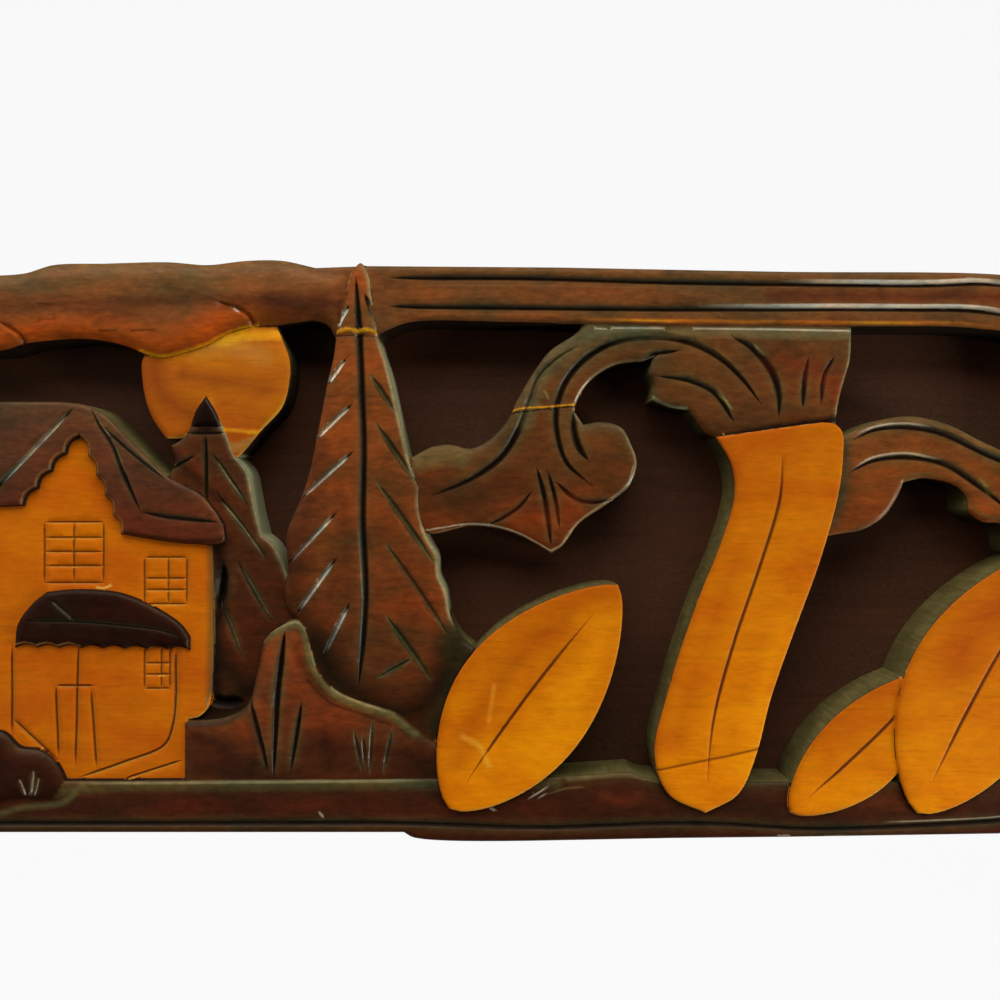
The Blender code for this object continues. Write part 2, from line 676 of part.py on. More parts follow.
def carved_front():
    """The panel, and the flat layout of the triangles of its front."""
    panel = Panel()
    points, edges = [], []
    for line, keep in panel.guide_lines():
        first = len(points)
        points += [tuple(p) for p in line]
        edges += [(first + i, first + i + 1) for i in range(len(line) - 1) if keep[i] and keep[i + 1]]
    used = sorted({i for edge in edges for i in edge})
    order = {old: new for new, old in enumerate(used)}
    points = [points[i] for i in used]
    edges = [(order[a], order[b]) for a, b in edges]
    places, triangles, _ = triangulate(points, edges)
    triangles = triangles[panel.solid(places[triangles].mean(axis=1))]
    return panel, places, triangles


def wood(name, colour, roughness):
    material = bpy.data.materials.new(name)
    material.use_nodes = True
    shader = material.node_tree.nodes["Principled BSDF"]
    shader.inputs["Base Color"].default_value = (*colour, 1.0)
    shader.inputs["Roughness"].default_value = roughness
    shader.inputs["Metallic"].default_value = 0.0
    return material


def add_object(name, mesh, *materials):
    for material in materials:
        mesh.materials.append(material)
    thing = bpy.data.objects.new(name, mesh)
    bpy.context.collection.objects.link(thing)
    return thing


def build_carved_panel():
    """The front heights, straight walls behind every rim, and a flat back."""
    panel, places, triangles = carved_front()
    rim = rim_edges(triangles)
    heights = panel.surface(places)
    honey = panel.honey(places[triangles].mean(axis=1))
    back_y = -(BACKING_THICKNESS + BOARD_GAP)
    rim_points = sorted({i for edge in rim for i in edge})
    number = {old: new for new, old in enumerate(rim_points)}
    back_edges = [(number[a], number[b]) for a, b in rim]
    back_places, back_triangles, origins = triangulate(places[rim_points], back_edges)
    back_triangles = back_triangles[panel.solid(back_places[back_triangles].mean(axis=1))]

    work = bmesh.new()
    front = {}
    for i in sorted(set(triangles.ravel())):
        front[i] = work.verts.new((places[i][0] * MM, (back_y - heights[i]) * MM, places[i][1] * MM))
    behind = {}
    for i in rim_points:
        behind[i] = work.verts.new((places[i][0] * MM, back_y * MM, places[i][1] * MM))
    for (a, b, c), is_honey in zip(triangles, honey):
        work.faces.new((front[a], front[b], front[c])).material_index = int(is_honey)
    for a, b in rim:
        work.faces.new((front[b], front[a], behind[a], behind[b]))
    for triangle in back_triangles:
        corners = [behind[rim_points[origins[i][0]]] for i in triangle]
        work.faces.new(corners[::-1])
    bmesh.ops.triangulate(work, faces=work.faces[:])
    bmesh.ops.recalc_face_normals(work, faces=work.faces[:])
    mesh = bpy.data.meshes.new("carved_panel")
    work.to_mesh(mesh)
    work.free()
    stained = wood("stained wood", (0.10, 0.025, 0.010), 0.35)
    honey_wood = wood("honey wood", (0.55, 0.19, 0.010), 0.35)
    return add_object("carved_panel", mesh, stained, honey_wood)


def build_backing_board():
    """A thin board with rounded corners and eased edges."""
    half_width, half_height = BACKING_WIDTH / 2, BACKING_HEIGHT / 2
    steps = 8
    rim = []
    for quarter, (sx, sz) in enumerate(((1, 1), (-1, 1), (-1, -1), (1, -1))):
        for i in range(steps + 1):
            angle = math.pi / 2 * (quarter + i / steps)
            x = sx * (half_width - BACKING_CORNER) + BACKING_CORNER * math.cos(angle)
            z = sz * (half_height - BACKING_CORNER) + BACKING_CORNER * math.sin(angle)
            rim.append((x, z))
    work = bmesh.new()
    corners = [work.verts.new((x * MM, 0.0, z * MM)) for x, z in rim]
    face = work.faces.new(corners)
    grown = bmesh.ops.extrude_face_region(work, geom=[face])
    moved = [item for item in grown["geom"] if isinstance(item, bmesh.types.BMVert)]
    bmesh.ops.translate(work, verts=moved, vec=(0.0, -BACKING_THICKNESS * MM, 0.0))
    bmesh.ops.recalc_face_normals(work, faces=work.faces[:])
    flat_rims = [e for e in work.edges if abs(e.verts[0].co.y - e.verts[1].co.y) < 1e-9]
    bmesh.ops.bevel(work, geom=flat_rims, offset=BACKING_EDGE * MM, segments=1, affect="EDGES")
    mesh = bpy.data.meshes.new("backing_board")
    work.to_mesh(mesh)
    work.free()
    return add_object("backing_board", mesh, wood("backing wood", (0.030, 0.015, 0.009), 0.6))


def main():
    for thing in list(bpy.data.objects):
        bpy.data.objects.remove(thing, do_unlink=True)
    build_backing_board()
    build_carved_panel()


main()
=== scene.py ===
"""Looks of the wooden wall plaque: finely carved panel, stained and varnished wood, stage, lights and camera.

Outlines are in millimetres as (x, z) seen from the front, and a level is a height in front of the
panel's back. They repeat the named values of the solids, sampled finely, and the piece made from
them stands for the carved panel's solid.
"""
import math

import bpy
import numpy as np
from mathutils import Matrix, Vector
from mathutils.geometry import delaunay_2d_cdt
from mathutils.kdtree import KDTree

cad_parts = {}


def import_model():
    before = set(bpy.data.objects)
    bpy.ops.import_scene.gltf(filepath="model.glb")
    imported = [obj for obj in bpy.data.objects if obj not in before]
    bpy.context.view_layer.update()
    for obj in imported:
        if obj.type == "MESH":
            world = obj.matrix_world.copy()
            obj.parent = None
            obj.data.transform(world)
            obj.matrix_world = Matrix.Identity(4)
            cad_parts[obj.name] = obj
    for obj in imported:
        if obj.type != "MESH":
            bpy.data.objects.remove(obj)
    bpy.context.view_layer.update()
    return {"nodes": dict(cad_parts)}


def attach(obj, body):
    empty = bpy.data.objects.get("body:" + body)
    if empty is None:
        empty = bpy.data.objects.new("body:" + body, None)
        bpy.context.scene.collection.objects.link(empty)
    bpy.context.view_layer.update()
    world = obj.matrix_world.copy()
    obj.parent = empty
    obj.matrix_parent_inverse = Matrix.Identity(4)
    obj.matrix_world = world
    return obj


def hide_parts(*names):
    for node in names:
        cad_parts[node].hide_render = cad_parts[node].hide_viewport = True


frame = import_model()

MM = 0.001
BACK_Y = -6.3

# Brightness of stage and world, steps of the floor's bend, and each lamp's name, place, size, power
# and colour
STAGE_LEVEL = 0.93
WORLD_LEVEL = 0.045
BEND_STEPS = 16
LAMPS = (
    ("overhead", (-0.1, -0.75, 1.15), (2.4, 1.0), 26.0, (1.0, 0.98, 0.94)),
    ("key", (0.95, -0.36, -0.36), (0.3, 0.3), 6.5, (1.0, 0.96, 0.88)),
    ("fill", (-1.1, -0.8, 0.2), (1.2, 1.2), 3.0, (1.0, 0.95, 0.88)),
)

# Camera: place in metres, and the width in millimetres that it sees at a distance
CAMERA_PLACE = (0.0, -0.3713, 0.01785)
SENSOR_WIDTH = 36
VIEW_DISTANCE = 345
SEEN_WIDTH = 350

# Levels of the carved surfaces in millimetres in front of the panel's back
BORDER_LEVEL = 18.0
CLOUD_LEVEL = 19.0
MOON_LEVEL = 16.0
FIR_TIP_LEVEL = 20.0
FIR_FOOT_LEVEL = 16.0
CONIFER_TIP_LEVEL = 17.4
CONIFER_FOOT_LEVEL = 13.0
HILL_LEVEL = 17.0
WALL_LEVEL = 15.5
ROOF_LEVEL = 18.0
AWNING_LEVEL = 17.5
BUSH_LEVEL = 18.8
SCROLL_LEVEL = 17.0
STROKE_LEVEL = 20.0
SMALL_STROKE_LEVEL = 19.2
MIDRIB_WIDTH = 1.7
MIDRIB_DEPTH = 0.7

# Fineness of the mesh and reach of its loose grid, in millimetres
CURVE_STEP = 0.8
CURVE_TOLERANCE = 0.03
POINT_STEP = 0.9
WELD = 0.03
EDGE_GUIDES = (0.16, 0.45)
OUTER_GUIDE = 0.3
HIDDEN_BELOW = 0.9
GRID_STEP = 1.6
GRID_X = (-218, 217)
GRID_Z = (-103, 103)

# Distance between the grid's rows, and of its points from the lines, for a grid step of 1
ROW_RATIO = 0.87
GRID_CLEARANCE = 0.55

# Round edge of a form, how far outside it and how far inside its edge it is read, and what stands
# for nothing near and for no form, in millimetres
ARRIS = 0.45
READ_MARGIN = 1.2
EDGE_REACH = 6.0
FAR_AWAY = 1e6
FAR_BELOW = -1000.0

# Slope of the step down from a form, greatest depth of a cut for its width, how far its slopes differ,
# and the share of its taper that is left at its very end
STEP_SLOPE = 12.0
STEEPEST_CUT = 0.48
LEAN = 0.15
FADED = 0.02

# Waviness of the surfaces in millimetres, which fades out at the edges
WAVE_COUNT = 14
WAVE_LENGTHS = (7, 26)
WAVE_HEIGHT = 0.035
CALM_EDGE = 1.5

# Owners of the lines that belong to no form's face: outlines, and lines just outside them
OUTLINES = -1
OUTSIDE = -2

# Material slots of the panel, what makes a face a side or a part of a cut, and the sharpest smooth turn
FRONT_SLOT = 0
SIDE_SLOT = 1
STEEP = 0.5
IN_CUT = 0.02
SHARP_ANGLE = 42

# Directions of the edges that get a painted highlight line, and reaches in millimetres of these painted
# highlight lines and of the red along honey forms' left edges
RIGHT_LIT = (0.96, -0.28)
LOWER_LIT = (0.35, -0.94)
RIGHT_HIGHLIGHT_WIDTH = 0.8
LOW_HIGHLIGHT_WIDTH = 0.55
RED_WIDTH = 2.2

# Half length and half height in metres beyond which a side face is the panel's own outer face
OUTER_FACES = (0.21, 0.0925)

# Left end, right end and top in metres of the stretches where the trees' right sides get a pale painted
# highlight
TREE_SIDES = ((-0.1, -0.07, 0.034), (-0.048, -0.018, 0.074))


def spline(points):
    """A smooth open curve through the points, sampled every CURVE_STEP."""
    if len(points) == 2:
        return [points[0], points[1]]
    knots = [np.array(p, float) for p in points]
    knots = [2 * knots[0] - knots[1]] + knots + [2 * knots[-1] - knots[-2]]
    places = []
    for a, b, c, d in zip(knots, knots[1:], knots[2:], knots[3:]):
        count = max(2, int(np.linalg.norm(c - b) / CURVE_STEP))
        tight = [math.sqrt(max(np.linalg.norm(q - p), 1e-6)) for p, q in ((a, b), (b, c), (c, d))]
        out_slope = (b - a) / tight[0] - (c - a) / (tight[0] + tight[1]) + (c - b) / tight[1]
        in_slope = (c - b) / tight[1] - (d - b) / (tight[1] + tight[2]) + (d - c) / tight[2]
        for i in range(count):
            t = i / count
            blend = (2 * t**3 - 3 * t**2 + 1, t**3 - 2 * t**2 + t, 3 * t**2 - 2 * t**3, t**3 - t**2)
            point = blend[0] * b + blend[1] * tight[1] * out_slope
            point = point + blend[2] * c + blend[3] * tight[1] * in_slope
            places.append(tuple(point))
    places.append(tuple(points[-1]))
    return places


def simplify(places, tolerance=CURVE_TOLERANCE):
    """Leave out the points of an open curve that lie within the tolerance of its chords."""
    first, last = np.array(places[0]), np.array(places[-1])
    chord = last - first
    length = np.linalg.norm(chord)
    rest = np.array(places) - first
    if length < 1e-9:
        off = np.linalg.norm(rest, axis=1)
    else:
        off = np.abs(rest[:, 0] * chord[1] - rest[:, 1] * chord[0]) / length
    far = int(np.argmax(off))
    if off[far] <= tolerance:
        return [places[0], places[-1]]
    return simplify(places[:far + 1], tolerance)[:-1] + simplify(places[far:], tolerance)


def outline(*runs):
    """A closed outline. It turns sharply only where one run of points meets the next."""
    loop = []
    for run, following in zip(runs, runs[1:] + runs[:1]):
        points = list(run)
        if points[-1] != following[0]:
            points.append(following[0])
        if len(points) > 1:
            loop += curve(*points)
    return loop


def curve(*points):
    """The points of a smooth curve without its last one, for joining to the next piece of an outline."""
    return simplify(spline(points))[:-1]


def bites(start, end, count, depth):
    """Points of a scalloped edge: arcs that bulge to the left of the way from start to end."""
    start, end = np.array(start, float), np.array(end, float)
    along = (end - start) / count
    left = np.array((-along[1], along[0])) / np.linalg.norm(along)
    points = []
    for i in range(count):
        for t in (0.0, 0.1, 0.25, 0.4, 0.5, 0.6, 0.75, 0.9):
            points.append(tuple(start + along * (i + t) + left * depth * math.sin(math.pi * t)))
    return points + [tuple(end)]


def moved(points, by):
    """The points moved by a distance in x and z."""
    return [(x + by[0], z + by[1]) for x, z in points]


def leaf(base, tip, half_width, bend=0.0, count=60):
    """A leaf-shaped closed outline, pointed at its base and its tip."""
    left, right = [], []
    for i in range(count + 1):
        t = i / count
        middle, across = leaf_axis(base, tip, bend, t)
        width = half_width * math.sin(math.pi * t**0.9) ** 0.72
        left.append(tuple(middle + across * width))
        right.append(tuple(middle - across * width))
    return simplify(right)[:-1] + simplify(left[::-1])[:-1]


def leaf_axis(base, tip, bend, t):
    """The point at t on a leaf's bent axis, and the unit direction to its left."""
    base, tip = np.array(base, float), np.array(tip, float)
    along = tip - base
    left = np.array((-along[1], along[0])) / np.linalg.norm(along)
    return base + along * t + left * bend * math.sin(math.pi * t), left


def closed(loop):
    return np.vstack((loop, loop[:1]))


def dense(line, step):
    """The same line with points no further apart than the step."""
    points = []
    for a, b in zip(line, line[1:]):
        count = max(1, int(math.ceil(np.linalg.norm(b - a) / step)))
        points += [a + (b - a) * i / count for i in range(count)]
    return np.array(points + [line[-1]])


def stations(line):
    """The share of a line's length that lies behind each of its points."""
    steps = np.linalg.norm(np.diff(line, axis=0), axis=1)
    return np.concatenate(([0.0], np.cumsum(steps))) / steps.sum()


def leftward(line):
    """The unit direction to the left at each point of a line."""
    ahead = np.gradient(line, axis=0)
    ahead /= np.linalg.norm(ahead, axis=1)[:, None]
    return np.stack((-ahead[:, 1], ahead[:, 0]), axis=1)


def offset(loop, inward, is_hole=False):
    """A closed line moved sideways: inward is into the material, for an outline or a hole in it."""
    ahead = np.roll(loop, -1, axis=0) - loop
    ahead /= np.linalg.norm(ahead, axis=1)[:, None]
    behind = np.roll(ahead, 1, axis=0)
    turn = loop[:, 0] * np.roll(loop[:, 1], -1) - loop[:, 1] * np.roll(loop[:, 0], -1)
    side = 1 if (turn.sum() > 0) != is_hole else -1
    across = np.stack((-(ahead + behind)[:, 1], (ahead + behind)[:, 0]), axis=1)
    size = np.maximum(np.linalg.norm(across, axis=1), 0.7)
    across = across / size[:, None] ** 2 * 2
    return loop + side * inward * across


class Near:
    """Where each point lies by a line: how far away, how far along it, and from which direction."""

    def __init__(self, points, line, reach, stations=None):
        self.away = np.full(len(points), FAR_AWAY)
        self.place = np.zeros(len(points))
        self.outward = np.zeros((len(points), 2))
        if stations is None:
            stations = np.linspace(0, 1, len(line))
        group = 8
        for first in range(0, len(line) - 1, group):
            some = line[first:first + group + 1]
            low, high = some.min(axis=0) - reach, some.max(axis=0) + reach
            chosen = np.flatnonzero(np.all((points > low) & (points < high), axis=1))
            if len(chosen):
                self._measure(points, chosen, line, stations, first, min(first + group, len(line) - 1))

    def _measure(self, points, chosen, line, stations, first, last):
        some = points[chosen]
        best, place, outward = self.away[chosen], self.place[chosen], self.outward[chosen]
        for i in range(first, last):
            a, b = line[i], line[i + 1]
            ab = b - a
            t = np.clip(((some - a) @ ab) / max(ab @ ab, 1e-12), 0, 1)
            gap = a + t[:, None] * ab - some
            away = np.hypot(gap[:, 0], gap[:, 1])
            closer = away < best
            best[closer] = away[closer]
            place[closer] = (stations[i] + (stations[i + 1] - stations[i]) * t)[closer]
            outward[closer] = gap[closer] / np.maximum(away[closer], 1e-9)[:, None]
        self.away[chosen], self.place[chosen], self.outward[chosen] = best, place, outward


class Trace:
    """A smooth curve of some width, for cuts and marks to follow."""

    def __init__(self, points, width):
        self.line = np.array(simplify(spline(points)))
        self.stations = stations(self.line)
        self.half_width = width / 2


class Groove(Trace):
    """A V-shaped cut along a curve, thin and shallow at its tapered ends, with a painted highlight on its lit
    slope.
    """

    def __init__(self, points, width=1.8, depth=1.3, tapers=(0.3, 0.3), lean=(-0.5, 0.87), shine=0.3):
        super().__init__(points, width)
        self.lean = np.array(lean)
        self.shine = shine
        self.depth = min(depth, STEEPEST_CUT * width)
        self.tapers = tapers

    def share(self, t):
        """How much of the full width and depth the cut has at t, from 0 to 1."""
        share = np.ones_like(t)
        for from_end, taper in zip((t, 1 - t), self.tapers):
            if taper:
                share = np.minimum(share, np.sqrt(np.clip(from_end / taper, FADED, 1)))
        return share

    def carve(self, points):
        """What the cut takes away at each point, how dark it is there, how pale its lit slope is painted as a
        highlight, and its surroundings.
        """
        near = Near(points, self.line, self.half_width * 2.2, self.stations)
        share = self.share(near.place)
        side = -(near.outward @ self.lean)
        reach = self.half_width * share * (1 + LEAN * side)
        inward = np.clip(1 - near.away / reach, 0, 1)
        dark = np.clip(inward * 2.6, 0, 1) * np.clip(self.depth * share / 0.6, 0.4, 1)
        pale = np.clip(side * 2, 0, 1) * np.clip(inward * 6, 0, 1) * np.exp(-((inward - 0.25) / 0.25) ** 2)
        pale = pale * share * self.shine
        around = np.clip(2.2 - near.away / self.half_width, 0, 1) * share
        return self.depth * share * inward, dark, pale, around

    def guides(self):
        """Lines for the mesh to follow: the bottom of the cut, its two edges and its slopes."""
        bottom = dense(self.line, POINT_STEP)
        across = leftward(bottom)
        reach = (self.half_width * self.share(stations(bottom)))[:, None]
        slant = (across @ self.lean)[:, None] * LEAN
        edges = [bottom + across * reach * side * (1 + side * slant) for side in (-1.0, 1.0)]
        return [bottom] + edges + [(edge + bottom) / 2 for edge in edges]


class Mark(Trace):
    """A stain, crack, bead of glue or chip along a line, or a painted highlight, glint or shade, with its own
    colour. A rise lifts or sinks it.
    """

    def __init__(self, points, width, tone, strength=1.0, soft=0.5, taper=0.0, rise=0.0):
        super().__init__(points, width)
        self.tone = tone
        self.strength = strength
        self.soft = soft
        self.taper = taper
        self.rise = rise

    def weight(self, points):
        near = Near(points, self.line, self.half_width, self.stations)
        inward = np.clip(1 - near.away / self.half_width, 0, 1)
        weight = np.clip(inward / self.soft, 0, 1)
        if self.taper:
            weight = weight * np.clip(np.minimum(near.place, 1 - near.place) / self.taper, 0, 1)
        return weight

    def guides(self):
        middle = dense(self.line, POINT_STEP)
        across = leftward(middle) * self.half_width
        return [middle, middle + across, middle - across]


class Form:
    """One carved form: its outline, the level of its face, how its edge falls, and its cuts."""

    def __init__(self, loops, level, edge=(1.2, 0.8), foot_level=None, honey=False, grooves=()):
        self.loops = [np.array(loop) for loop in loops]
        self.level = level
        self.foot_level = level if foot_level is None else foot_level
        self.edge_width, self.edge_drop = edge
        self.honey = honey
        self.grooves = list(grooves)
        self.marks = []
        everything = np.concatenate(self.loops)
        self.low = everything.min(axis=0)
        self.high = everything.max(axis=0)

    def inside(self, points):
        """Whether each point is in the form, by counting the outline's crossings."""
        order = np.argsort(points[:, 1], kind="stable")
        x, z = points[order, 0], points[order, 1]
        odd = np.zeros(len(points), bool)
        for loop in self.loops:
            for (ax, az), (bx, bz) in zip(loop, np.roll(loop, -1, axis=0)):
                if az != bz:
                    first, last = np.searchsorted(z, (min(az, bz), max(az, bz)))
                    odd[first:last] ^= x[first:last] < ax + (z[first:last] - az) * (bx - ax) / (bz - az)
        inside = np.empty_like(odd)
        inside[order] = odd
        return inside

    def beside(self, inward):
        """The outline moved into the form, or out of it where inward is negative."""
        return [offset(loop, inward, self.loops[0] is not loop) for loop in self.loops]

    def read(self, points):
        """The form's surface at each point: its level, how deep in a cut, how far from the edge."""
        count = len(points)
        reading = {
            "level": np.full(count, FAR_BELOW),
            "cut": np.zeros(count),
            "pale": np.zeros(count),
            "around": np.zeros(count),
            "away": np.full(count, FAR_AWAY),
            "outward": np.zeros((count, 2)),
            "inside": np.zeros(count, bool),
        }
        low, high = self.low - READ_MARGIN, self.high + READ_MARGIN
        near = np.flatnonzero(np.all((points > low) & (points < high), axis=1))
        if not len(near):
            return reading
        some = points[near]
        reach = max(self.edge_width, EDGE_REACH)
        found = [Near(some, closed(loop), reach) for loop in self.loops]
        away = np.min([each.away for each in found], axis=0)
        outward = found[0].outward
        for each in found[1:]:
            outward = np.where((each.away < found[0].away)[:, None], each.outward, outward)
        inside = self.inside(some)
        rise = np.clip((some[:, 1] - self.low[1]) / (self.high[1] - self.low[1]), 0, 1)
        level = self.foot_level + (self.level - self.foot_level) * rise
        short = 1 - np.clip(away / self.edge_width, 0, 1)
        round_off = 1 - np.clip(away / ARRIS, 0, 1)
        surface = level - self.edge_drop * short**2 - ARRIS * 0.7 * (1 - np.sqrt(1 - 0.98 * round_off**2))
        cut, pale, around = np.zeros((3, len(some)))
        for groove in self.grooves:
            depth, dark, light, beside = groove.carve(some)
            surface = surface - depth
            cut = np.maximum(cut, dark)
            pale = np.maximum(pale, light)
            around = np.maximum(around, beside)
        for mark in self.marks:
            if mark.rise:
                surface = surface + mark.rise * mark.weight(some)
        outside = level - self.edge_drop - ARRIS * 0.6 - STEP_SLOPE * away
        reading["level"][near] = np.where(inside, surface, outside)
        reading["cut"][near] = cut * inside
        reading["pale"][near] = pale * inside
        reading["around"][near] = around * inside
        reading["away"][near] = away
        reading["outward"][near] = outward
        reading["inside"][near] = inside
        return reading


def straight(*ends, width=1.5, depth=0.6):
    """Straight cuts between pairs of points."""
    return [Groove((a, b), width, depth, (0.12, 0.12), (0.5, -0.87), 1.0) for a, b in ends]


def glint(start, end):
    """A painted highlight: a pale line of light in the middle of a straight cut."""
    start, end = np.array(start), np.array(end)
    ends = [tuple(start + (end - start) * t) for t in (0.1, 0.5, 0.92)]
    return Mark(ends, 1.4, GLINT_WHITE, 0.95, 0.4, 0.15)


# Border, with its moulded grooves
def border():
    outer = outline(
        [(-216.5, 94)],
        [(-47, 100.5)],
        [(21, 100), (100, 98.5), (176, 97.5), (197, 94.5), (210, 85), (216, 68)],
        [(216, 68)],
        [(216.5, -66), (210, -86), (197, -96.5), (176, -100)],
        [(176, -100), (70, -101.5), (-30, -101.5)],
        [(-34, -99.5)],
        [(-203, -99.5), (-213, -95.5), (-216.5, -86)],
    )
    inner = outline(
        [(-208.5, 84)],
        [(-52, 84)],
        [(-45, 75), (-40, 77.5), (-31.5, 80.5)],
        [(7, 80.5), (53, 79.5), (125, 79), (165, 78.5), (186, 75), (196, 65), (199, 52)],
        [(199, -52), (197, -68), (188, -78)],
        [(188, -78), (175, -80), (51, -80)],
        [(46, -78), (22, -79.5)],
        [(-24, -80.5)],
        [(-208.5, -81.5)],
    )
    outer_groove = [
        (-38.5, 96), (7, 96), (60, 94.5), (150, 93.5), (172, 94), (192, 91), (205, 83), (211, 68),
        (211.5, 0), (211.5, -66), (205, -83), (193, -92), (176, -95), (152, -96.5), (112, -98),
        (70, -96), (12, -97.5), (-35, -96), (-100, -96), (-203, -96),
    ]
    inner_groove = [
        (-38.5, 86), (7, 85.5), (60, 85), (140, 85), (172, 84), (192, 79), (202, 68), (205, 50), (205, -40),
    ]
    grooves = [Groove(outer_groove, 2.8, 1.3, (0.02, 0.02)), Groove(inner_groove, 2.8, 1.3, (0.03, 0.15))]
    return Form([outer, inner], BORDER_LEVEL, (1.6, 1.0), grooves=grooves)


# Cloud, moon, small conifer and tall fir
def cloud():
    loop = outline(
        [(-216, 95), (-205.5, 99), (-193, 99.5), (-182.5, 97.5), (-168.5, 98), (-158, 101), (-140, 101.5),
         (-117.5, 102), (-103.5, 101), (-89.5, 102.5), (-77, 102.5), (-62.5, 99.5), (-53, 99.5)],
        [(-51.5, 99.5)],
        [(-53.5, 85)],
        [(-56.5, 75.5)],
        [(-58.5, 75.5), (-60.5, 79), (-65.5, 81), (-71, 80.5), (-79, 79.5), (-88, 79)],
        [(-88, 79), (-95, 77), (-103.5, 72.5), (-112.5, 69.5), (-119.5, 68), (-124.5, 69), (-133.5, 72.5),
         (-144, 74.5), (-154.5, 74.5), (-168.5, 73)],
        [(-168.5, 73), (-174, 71), (-186, 70), (-196.5, 72.5), (-207, 73.5), (-216, 72.5)],
    )
    curls = [
        Groove([(-99, 87.5), (-92.5, 85), (-88.5, 82.5), (-87, 78.5)], 2.6, 1.2, (0.4, 0.05)),
        Groove([(-176, 80.5), (-172, 78), (-169, 75.5), (-168, 72.5)], 2.6, 1.2, (0.3, 0.05)),
    ]
    return Form([loop], CLOUD_LEVEL, (6.0, 2.6), grooves=curls)


def moon():
    loop = outline(
        [(-79.5, 80), (-76.5, 73.5), (-74.5, 67.5), (-74.5, 60.5), (-77, 51), (-84.5, 42.5), (-93.5, 32.5)],
        [(-101, 30)],
        [(-109, 41), (-113.5, 39.5), (-118.5, 39.5)],
        [(-118.5, 39.5), (-123, 46), (-125.5, 52), (-127, 60.5), (-127, 67.5), (-122, 74.5)],
        [(-101, 85)],
    )
    return Form([loop], MOON_LEVEL, (2.5, 0.9), honey=True)


def conifer():
    loop = outline(
        [(-104, 54.5), (-101.5, 50.5), (-98.5, 45)],
        [(-98.5, 45), (-96.5, 40.5), (-94, 34), (-89.5, 28), (-88, 21.5), (-86.5, 13.5), (-84.5, 5.5)],
        [(-84.5, 5.5), (-80.5, 2), (-75.5, -9)],
        [(-71, -26.5)],
        [(-85.5, -65.5)],
        [(-110, -65.5)],
        [(-108, -52)],
        [(-103, -42)],
        [(-103, 10.5)],
        [(-118, 25.5), (-115, 31.5), (-116.5, 37)],
        [(-116.5, 37), (-112.5, 39.5), (-110, 43)],
        [(-110, 43), (-107.5, 49.5), (-104, 54.5)],
    )
    cuts = [
        [(-104, 40.5), (-104, 16)],
        [(-101.5, 34), (-89.5, 16)],
        [(-100.5, 20.5), (-92.5, 10), (-83, -3)],
        [(-93, -4), (-87, -15), (-81, -25.5)],
        [(-99.5, -17.5), (-95.5, -27.5), (-92, -37.5)],
        [(-117, 28.5), (-108, 33.5)],
        [(-110, 44), (-98, 44)],
        [(-110.5, 41.5), (-97.5, 41.5)],
    ]
    hollows = [
        Groove([(-98, -5), (-98.5, -12), (-100, -21)], 5.0, 6.0, (0.3, 0.3), shine=0.0),
        Groove([(-104, -53), (-98, -54.5), (-91, -54)], 5.0, 6.0, (0.2, 0.3), shine=0.0),
    ]
    grooves = [Groove(cut, 2.0, 0.9) for cut in cuts] + hollows
    return Form([loop], CONIFER_TIP_LEVEL, (2.0, 0.9), CONIFER_FOOT_LEVEL, grooves=grooves)


def fir():
    loop = outline(
        [(-54, 89), (-57.5, 77.5), (-58.5, 69), (-61, 58.5), (-63.5, 46),
         (-67, 29), (-70.5, 18), (-73.5, 11.5), (-75.5, 5.5), (-75, -8)],
        [(-75, -8), (-76.5, -14), (-75, -21), (-71.5, -26)],
        [(-63.5, -56.5)],
        [(-35.5, -73)],
        [(-10.5, -66)],
        [(-8, -35), (-13.5, -30.5), (-17.5, -23), (-19, -14.5), (-21.5, -8.5), (-22, -2), (-26, 5.5),
         (-28.5, 14.5), (-28.5, 22.5)],
        [(-28.5, 22.5), (-31.5, 30), (-34, 40.5), (-36.5, 52), (-39, 63), (-42.5, 74), (-45, 88.5),
         (-46.3, 97.5), (-49, 101.2), (-52.2, 97.5), (-54, 89)],
    )
    midrib = [
        (-50.5, 96), (-49.5, 78.5), (-48.5, 53), (-48, 35.5), (-48.5, 11), (-47.5, -14), (-48.5, -31.5),
        (-50, -47.5),
    ]
    left_cuts = [
        [(-53, 86), (-57.5, 78)],
        [(-54, 67.5), (-60.5, 58.5)],
        [(-52, 51.5), (-65, 39)],
        [(-51.5, 35), (-70.5, 18)],
        [(-57.5, 13.5), (-75, -5)],
        [(-57.5, -2.5), (-72, -22.5)],
        [(-53, -18.5), (-62.5, -37.5)],
    ]
    right_cuts = [
        [(-47.5, 90), (-42.5, 78.5)],
        [(-45, 61), (-37.5, 49.5)],
        [(-43.5, 44.5), (-29, 23)],
        [(-42.5, 23), (-23.5, -4)],
        [(-40, 2), (-18.5, -29.5)],
        [(-40, -23.5), (-24.5, -45.5)],
        [(-43, -45), (-31.5, -38.5)],
    ]
    grooves = [Groove(midrib, 3.6, 1.5, (0.12, 0.12))]
    grooves += [Groove(cut, 2.7, 1.2, shine=1.0) for cut in left_cuts]
    grooves += [Groove(cut, 2.7, 1.2) for cut in right_cuts]
    made = Form([loop], FIR_TIP_LEVEL, (3.0, 1.5), FIR_FOOT_LEVEL, grooves=grooves)
    # Painted highlights: pale olive in the right cuts and white lines in the left ones
    made.marks = [Mark(cut, 2.0, (104, 98, 62), 0.75, 0.9) for cut in right_cuts[1:]]
    made.marks += [glint(*cut) for cut in left_cuts]
    return made


